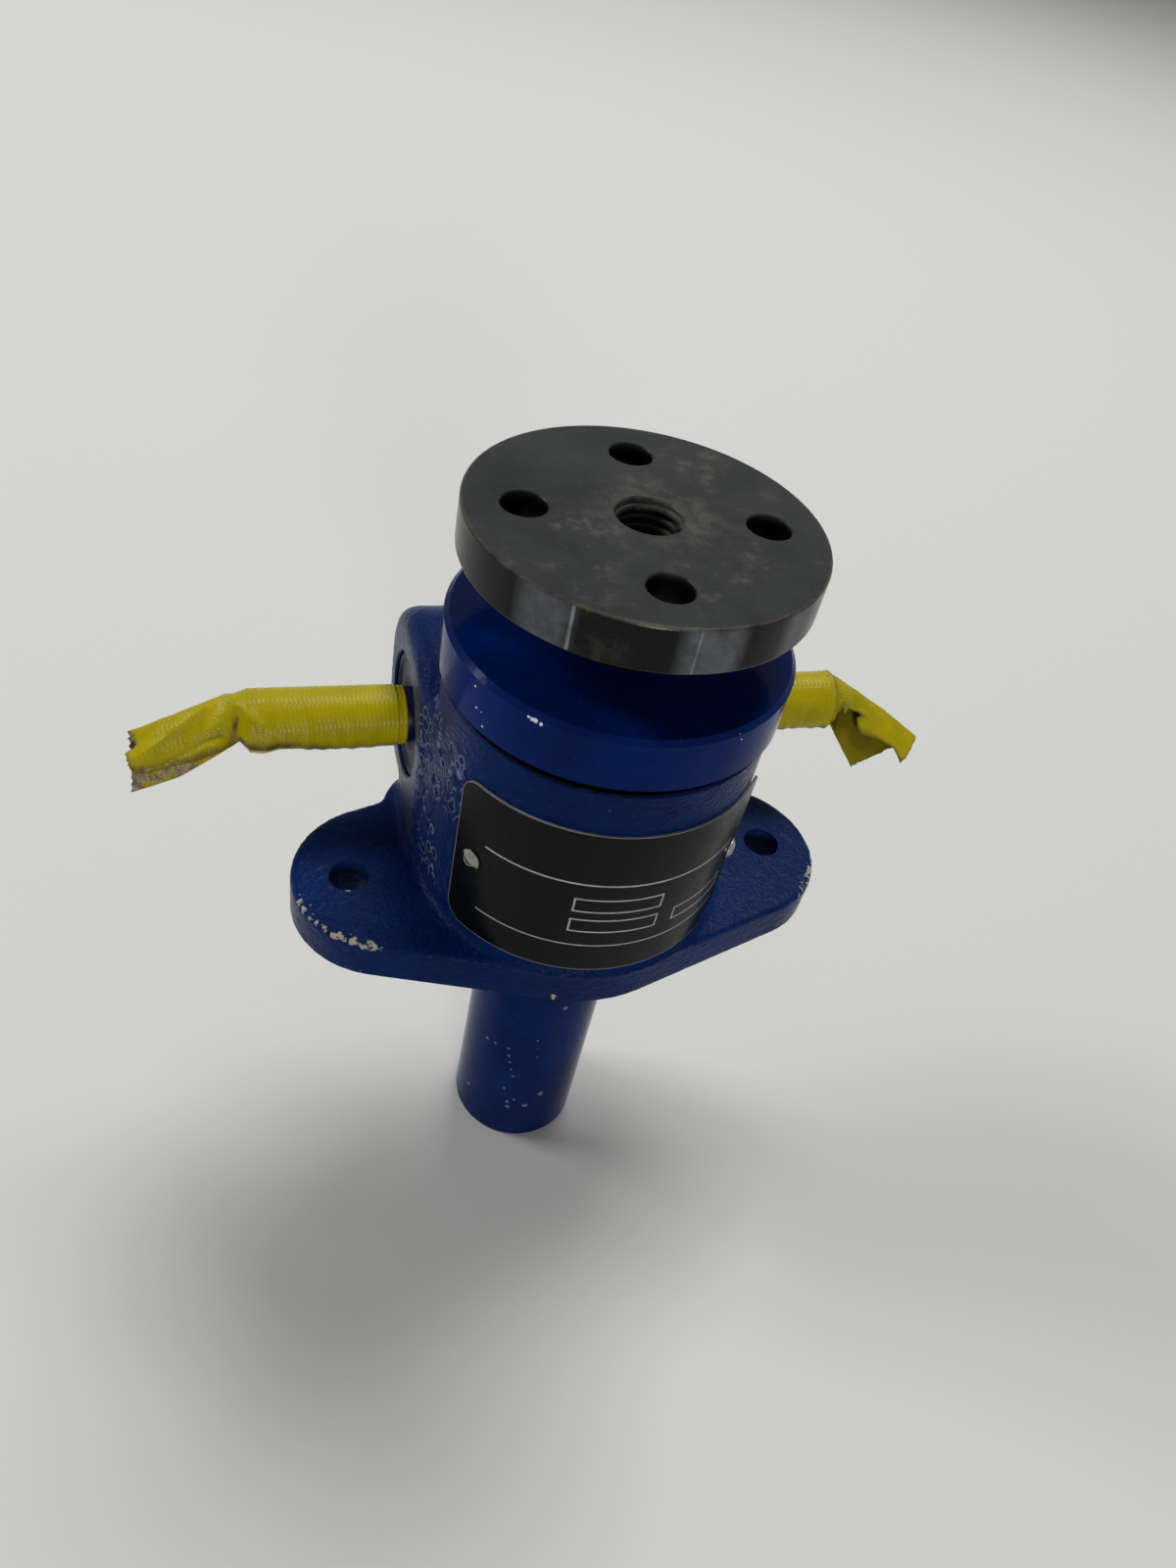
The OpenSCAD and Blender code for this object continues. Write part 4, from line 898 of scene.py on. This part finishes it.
beyond = anodised.vector("SUBTRACT", from_middle, (33.1, 15.9, 0.0))[0]
to_rim = anodised.vector("LENGTH", anodised.vector("MAXIMUM", beyond, (0.0, 0.0, 0.0))[0])["Value"]
# a light line along the rim: the bare cut edge, lightened also as a painted highlight of the edge
bare_lines_and_rim_glint.append(anodised.ramp(to_rim, 4.28, 4.4, 0.0, 0.55))
wear = anodised.noise(260.0, 6.0, 0.7)
bare = anodised.times(anodised.sums("MAXIMUM", *bare_lines_and_rim_glint), anodised.ramp(wear, 0.25, 0.6, 0.55, 1.0))
bare = anodised.sums("MAXIMUM", bare, anodised.ramp(wear, 0.68, 0.84, 0.0, 0.18))
anodised.set(Base_Color=anodised.mixed(bare, (0.0016, 0.0021, 0.0026), (0.42, 0.43, 0.44)),
             Roughness=anodised.ramp(wear, 0.3, 0.7, 0.22, 0.40), Specular_IOR_Level=0.10)
anodised.bump(wear, 0.08, 0.0002)
sheared = bare_metal("sheared_aluminium", (0.62, 0.63, 0.64), 0.32, 0.2, 0.3, (0.2, 0.2, 0.2))
coat(nameplate, anodised, sheared)
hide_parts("nameplate")

rivet_height, name_face = 33.1 * mm, (name_r + name_thick) / mm
rivet_profile = [(0, 28.4), (1.44, 28.4)] + [(r, name_face + up) for r, up in (
    (1.44, 0.1), (2.3, 0.1), (2.4, 0.2), (2.36, 0.42), (2.1, 0.5), (1.3, 1.12), (1.14, 1.16), (1.02, 1.06),
    (0.6, 1.16), (0, 1.22))]
rivets = [lathe([(r * mm, up * mm) for r, up in rivet_profile], 48, outwards(math.radians(a), rivet_height))
          for a in (-147.4, -38.4)]
rivet_pair = new_piece("turned_rivets", mesh_of("turned_rivets", *rivets), "case")
coat(rivet_pair, bare_metal("nickel_rivet", (0.30, 0.29, 0.265), 0.20, 0.25, 0.4, (0.16, 0.14, 0.11)))
for face in rivet_pair.data.polygons:
    face.use_smooth = True
rivet_pair.data.set_sharp_from_angle(angle=math.radians(35))
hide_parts("nameplate_rivets")


# ---------------------------------------------------------------- Shaft tapes
# Each bare shaft end is wrapped in one and a half turns of yellow cloth tape for shipping.
# The tape runs past the shaft's end, where it was squeezed, torn off and now hangs down.

across_eye = Vector((0, 0.708, 0.706))
to_eye = Vector((0, -0.706, 0.708))
shaft_axis = Vector((0, worm_y, worm_z))
tape_thick, turn_gap = 0.20, 0.30

# the folds come out the same in every run
fold_seed = 3
noise.seed_set(fold_seed)


def cloth_tape(name, colour, dirt_and_shade_colour, roughness, weave):
    """Cloth tape: coloured film over a woven scrim that shows through, soiled along its edges
    and torn end, and darkened in its creases as painted shade. It reads the tape's own flat map, in metres."""
    cloth = Finish(name)
    flat = cloth.add("ShaderNodeUVMap", uv_map="flat")["UV"]
    split = cloth.add("ShaderNodeSeparateXYZ", {"Vector": flat})
    threads = []
    for axis, pitch in (("X", 0.00055), ("Y", 0.0010)):
        phase = cloth.times(split[axis], 2 * math.pi / pitch)
        threads.append(cloth.add("ShaderNodeMath", {0: phase}, operation="SINE")[0])
    scrim = cloth.sums("MAXIMUM", *threads)
    blotch = cloth.noise(150.0, 6.0, 0.65)
    speck = cloth.noise(800.0, 4.0, 0.7)
    flaky = cloth.noise(330.0, 5.0, 0.7)
    soil_and_shade_amount = cloth.ramp(blotch, 0.35, 0.7, 0.4, 1.2)
    dirt_and_shade = cloth.add("ShaderNodeMath", {0: cloth.marked("dirt_and_crease_shade"), 1: soil_and_shade_amount},
                      operation="MULTIPLY", use_clamp=True)[0]
    peeled = cloth.ramp(cloth.sums("ADD", cloth.marked("peeled"), flaky), 1.36, 1.40)
    scrap = cloth.mixed(cloth.ramp(speck, 0.4, 0.62), (0.16, 0.115, 0.055), (0.36, 0.295, 0.175))
    hue = cloth.mixed(cloth.ramp(blotch, 0.3, 0.7), [c * 0.82 for c in colour],
                      [min(1.0, c * 1.15) for c in colour])
    for share, over in ((cloth.ramp(scrim, 0.2, 1.0, 0.0, 0.22), [c * 0.6 for c in colour]), (dirt_and_shade, dirt_and_shade_colour),
                        (peeled, scrap), (cloth.ramp(speck, 0.68, 0.75, 0.0, 0.6), [c * 0.5 for c in dirt_and_shade_colour])):
        hue = cloth.mixed(share, hue, over)
    cloth.set(Base_Color=hue, Roughness=cloth.ramp(blotch, 0.3, 0.7, roughness * 0.8, roughness * 1.25),
              Specular_IOR_Level=0.12)
    cloth.bump(cloth.sums("ADD", scrim, speck), weave, 0.00012)
    return cloth


def crumpled(p, much):
    """How far the tape is pushed at a place: soft folds, sharper creases, fine wrinkles."""
    soft = noise.noise_vector(p * 120)
    crease = 1 - 2.2 * abs(noise.noise(p * 170 + Vector((7, 3, 1))))
    fine = noise.noise_vector(p * 460 + Vector((1, 5, 2)))
    return much * mm * (1.0 * soft + 0.8 * crease * to_eye + 0.35 * fine)


def wrapped_tape(name, stations, starts, free_edge, wound_to, torn, creases, loose, crumple, peel_from,
                 backing, flat):
    """One strip of tape as a grid, laid along the shaft and wound round it.
    stations: (run, top x, top up, bottom x, bottom up, half thickness), in millimetres;
    starts: run where the outer and the inner turn begin; free_edge and wound_to: (run,
    angle) of the strip's two long edges; torn: (angle, run) of its ragged end; creases:
    (x, up, x, up, height) folds on the face; loose: run from which it is crumpled, by
    crumple; peel_from: run from which its under layer has lost its film."""
    along, around = 170, 130
    stations = np.array(stations, float)
    bm = bmesh.new()
    flat_uv = bm.loops.layers.uv.new("flat")
    dirt_and_crease_shade = bm.verts.layers.float.new("dirt_and_crease_shade")
    peeled = bm.verts.layers.float.new("peeled")
    grid = []
    for i in range(along + 1):
        row = []
        for j in range(around + 1):
            share, wound = i / along, j / around
            run = starts[0] + share * (float(stations[-1, 0]) - starts[0])
            for _ in range(2):
                a0 = float(np.interp(run, *zip(*free_edge)))
                a1 = float(np.interp(run, *zip(*wound_to)))
                angle = a0 + (a1 - a0) * wound
                under = min(1.0, max(0.0, (free_edge[0][1] - 340 - angle) / 25))
                begin = starts[0] + (starts[1] - starts[0]) * under
                front = angle if angle > -180 else angle + 360
                ragged = 0.5 * noise.noise(Vector((angle * 0.09, 3.1, len(name))))
                ragged += 0.35 * noise.noise(Vector((angle * 0.33, 9.2, len(name))))
                stop = float(np.interp(max(front, -180), *zip(*torn))) + ragged
                run = begin + share * (stop - begin)
            top_x, top_up, low_x, low_up, half = (float(np.interp(run, stations[:, 0], stations[:, c]))
                                                  for c in range(1, 6))
            depth = turn_gap * (free_edge[0][1] - angle) / 360
            mid = Vector(((top_x + low_x) / 2, (top_up + low_up) / 2))
            arm = Vector((top_x, top_up)) - mid
            arm *= max(0.1, 1 - depth / arm.length)
            a = math.radians(angle)
            x, up = mid + arm * math.cos(a)
            out = max(0.25, half - depth) * math.sin(a)
            pinch_shade = 0.0
            for x0, up0, x1, up1, height in creases:
                line = Vector((x1 - x0, up1 - up0))
                t = min(1.0, max(0.0, ((x - x0) * line.x + (up - up0) * line.y) / line.length_squared))
                gap = math.hypot(x - x0 - t * line.x, up - up0 - t * line.y)
                out += height * max(0.0, 1 - gap / (1.6 + abs(height))) ** 1.5
                # painted shade along the sunken creases, on the tape's front
                pinch_shade += max(0.0, -height) * math.exp(-((gap / 0.55) ** 2)) * (math.sin(a) > 0)
            p = shaft_axis + mm * (Vector((x, 0, 0)) + up * across_eye + out * to_eye)
            slack = min(1.0, max(0.0, (run - loose) / 8))
            hang = math.exp(-(wound * 11) ** 2) * (1 - slack) * min(1.0, max(0.0, (run - starts[0]) / 20))
            round_out = Vector((0, p.y - worm_y, p.z - worm_z)).normalized()
            push = crumpled(p, crumple) * slack
            curl = math.exp(-(wound * 22) ** 2) * slack * (0.7 + 0.8 * noise.noise(p * 260))
            push += mm * curl * crumple / 0.3 * (0.9 * to_eye - 0.5 * across_eye)
            band = noise.noise(Vector((p.x * 420, p.y * 60, p.z * 60)))
            push += round_out * mm * (1 - slack) * (0.05 * max(0.0, band) + hang * (0.7 + 0.6 * band))
            fold = 1 - 2.2 * abs(noise.noise(p * 170 + Vector((7, 3, 1))))
            vert = bm.verts.new(p + push)
            end_edge = math.exp(-((1 - share) * along / 2.0) ** 2)
            long_edge = math.exp(-((wound * around) / 3.5) ** 2)
            # soil along the free edge, and painted shade in the valleys of the crumpled folds
            soil_and_shade_amount = 0.55 * max(0.0, -fold - 0.2) * slack + (0.5 + 3 * crumple) * long_edge
            vert[dirt_and_crease_shade] = min(1.0, max(0.0, 0.05 + soil_and_shade_amount + 0.6 * pinch_shade + 0.5 * end_edge))
            shown = min(1.0, max(0.0, (-182 - angle) / 6)) * min(1.0, max(0.0, (run - peel_from) / 4))
            vert[peeled] = max(0.95 * shown, 0.55 * end_edge)
            row.append((vert, wound * flat[1], share * flat[0]))
        grid.append(row)
    skin_over(bm, grid, flat_uv)
    for face in bm.faces:
        face.smooth = True
    bm.faces.ensure_lookup_table()
    middle = bm.faces[(along // 8) * around + around // 4]
    bm.normal_update()
    seen = middle.calc_center_median()
    if middle.normal.dot(Vector((0, seen.y - worm_y, seen.z - worm_z))) < 0:
        bmesh.ops.reverse_faces(bm, faces=bm.faces)
    film = bpy.data.meshes.new(name)
    bm.to_mesh(film)
    bm.free()
    film.materials.append(yellow_film.material)
    film.materials.append(backing.material)
    film = worked(film, ("SOLIDIFY", {"thickness": tape_thick * mm, "offset": 0.0,
                                      "material_offset": 1, "material_offset_rim": 1}))
    piece = new_piece(name, film, "worm")
    return piece


yellow_film = cloth_tape("yellow_film", (0.385, 0.318, 0.0005), (0.085, 0.052, 0.018), 0.25, 0.25)
adhesive = cloth_tape("dry_adhesive", (0.36, 0.29, 0.17), (0.16, 0.11, 0.05), 0.75, 0.5)
# the right tape's backing is the yellow film at about half its brightness
dark_adhesive = cloth_tape("dark_olive_adhesive", (0.19, 0.155, 0.0015), (0.07, 0.055, 0.005), 0.7, 0.5)

left_flat, right_flat = (0.0575, 0.064), (0.0600, 0.058)
left_tape = wrapped_tape(
    "left_tape_wrap",
    stations=[
        (36.5, -36.5, 6.95, -36.5, -6.95, 6.95), (64, -64, 6.95, -64, -6.95, 6.95),
        (67.4, -67.4, 6.95, -67.2, -7.7, 6.95), (70.2, -70.2, 6.9, -70.2, -7.4, 6.9),
        (72.6, -72.9, 5.9, -72.3, -4.9, 5.0), (74.8, -74.8, 5.9, -74.8, -6.3, 4.2),
        (78.3, -78.3, 4.6, -78.3, -8.4, 3.2), (85.1, -85.1, 1.9, -85.1, -11.9, 2.2),
        (90, -90, 0.2, -90, -13.3, 1.8), (94.8, -94.8, -1.5, -94.7, -14.5, 1.6),
        (97, -97, -2.2, -97, -15.1, 1.5)],
    starts=(38.4, 36.5),
    free_edge=[(37, 176), (50, 170), (57, 160), (63, 149), (70, 150), (74, 156), (78, 146), (82, 132),
               (86, 124), (94, 114), (97, 112)],
    wound_to=[(37, -372), (97, -372)],
    torn=[(-180, 94.7), (-60, 94.4), (0, 94.6), (66, 93.0), (74, 95.2), (118, 94.0), (180, 94.7)],
    creases=[(-93, -7.2, -79, 3.0, 1.0), (-74.0, -5.0, -72.6, 0.0, -1.6), (-76, -3.0, -90, -9.5, -0.8),
             (-78, -5.5, -94, -11.0, 0.7), (-68, -2.0, -74, 4.5, 0.5)],
    loose=66.5, crumple=0.30, peel_from=77.0, backing=adhesive, flat=left_flat)
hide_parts("left_shaft_tape")

right_tape = wrapped_tape(
    "right_tape_wrap",
    stations=[
        (37.2, 37.2, 6.95, 37.2, -6.95, 6.95), (70.2, 70.2, 6.95, 70.2, -6.9, 6.9),
        (72, 72.2, 7.2, 72.2, -5.3, 4.6),
        (81, 80.8, 1.6, 73.4, -9.5, 1.6), (90, 88.5, -3.5, 75.5, -14, 1.1), (99, 97.8, -10.9, 77.6, -18, 0.8),
        (106, 97.3, -16.3, 79.5, -21, 0.8), (109, 97.0, -18.5, 80.5, -22.5, 0.8)],
    starts=(37.6, 37.2),
    free_edge=[(37, 172), (72, 172), (74, 162), (76, 145), (78.5, 113), (80, 86), (81.3, 74), (82.8, 74),
               (84.2, 82), (85.6, 92), (87, 99), (90, 101), (92.6, 95), (95.5, 89), (98.7, 84), (104.6, 68),
               (109, 66)],
    wound_to=[(37, -372), (70.2, -372), (73.5, -186), (109, -184)],
    torn=[(-180, 99.0), (-60, 99.3), (0, 99.0), (30, 101.5), (55, 105.4), (68, 105.6), (76, 103.0),
          (86, 100.2), (180, 99.5)],
    creases=[(73.2, 5.0, 73.2, -5.0, -0.9), (80.5, 1.0, 83.5, -3.0, 0.4)],
    loose=71.5, crumple=0.12, peel_from=200.0, backing=dark_adhesive, flat=right_flat)
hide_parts("right_shaft_tape")
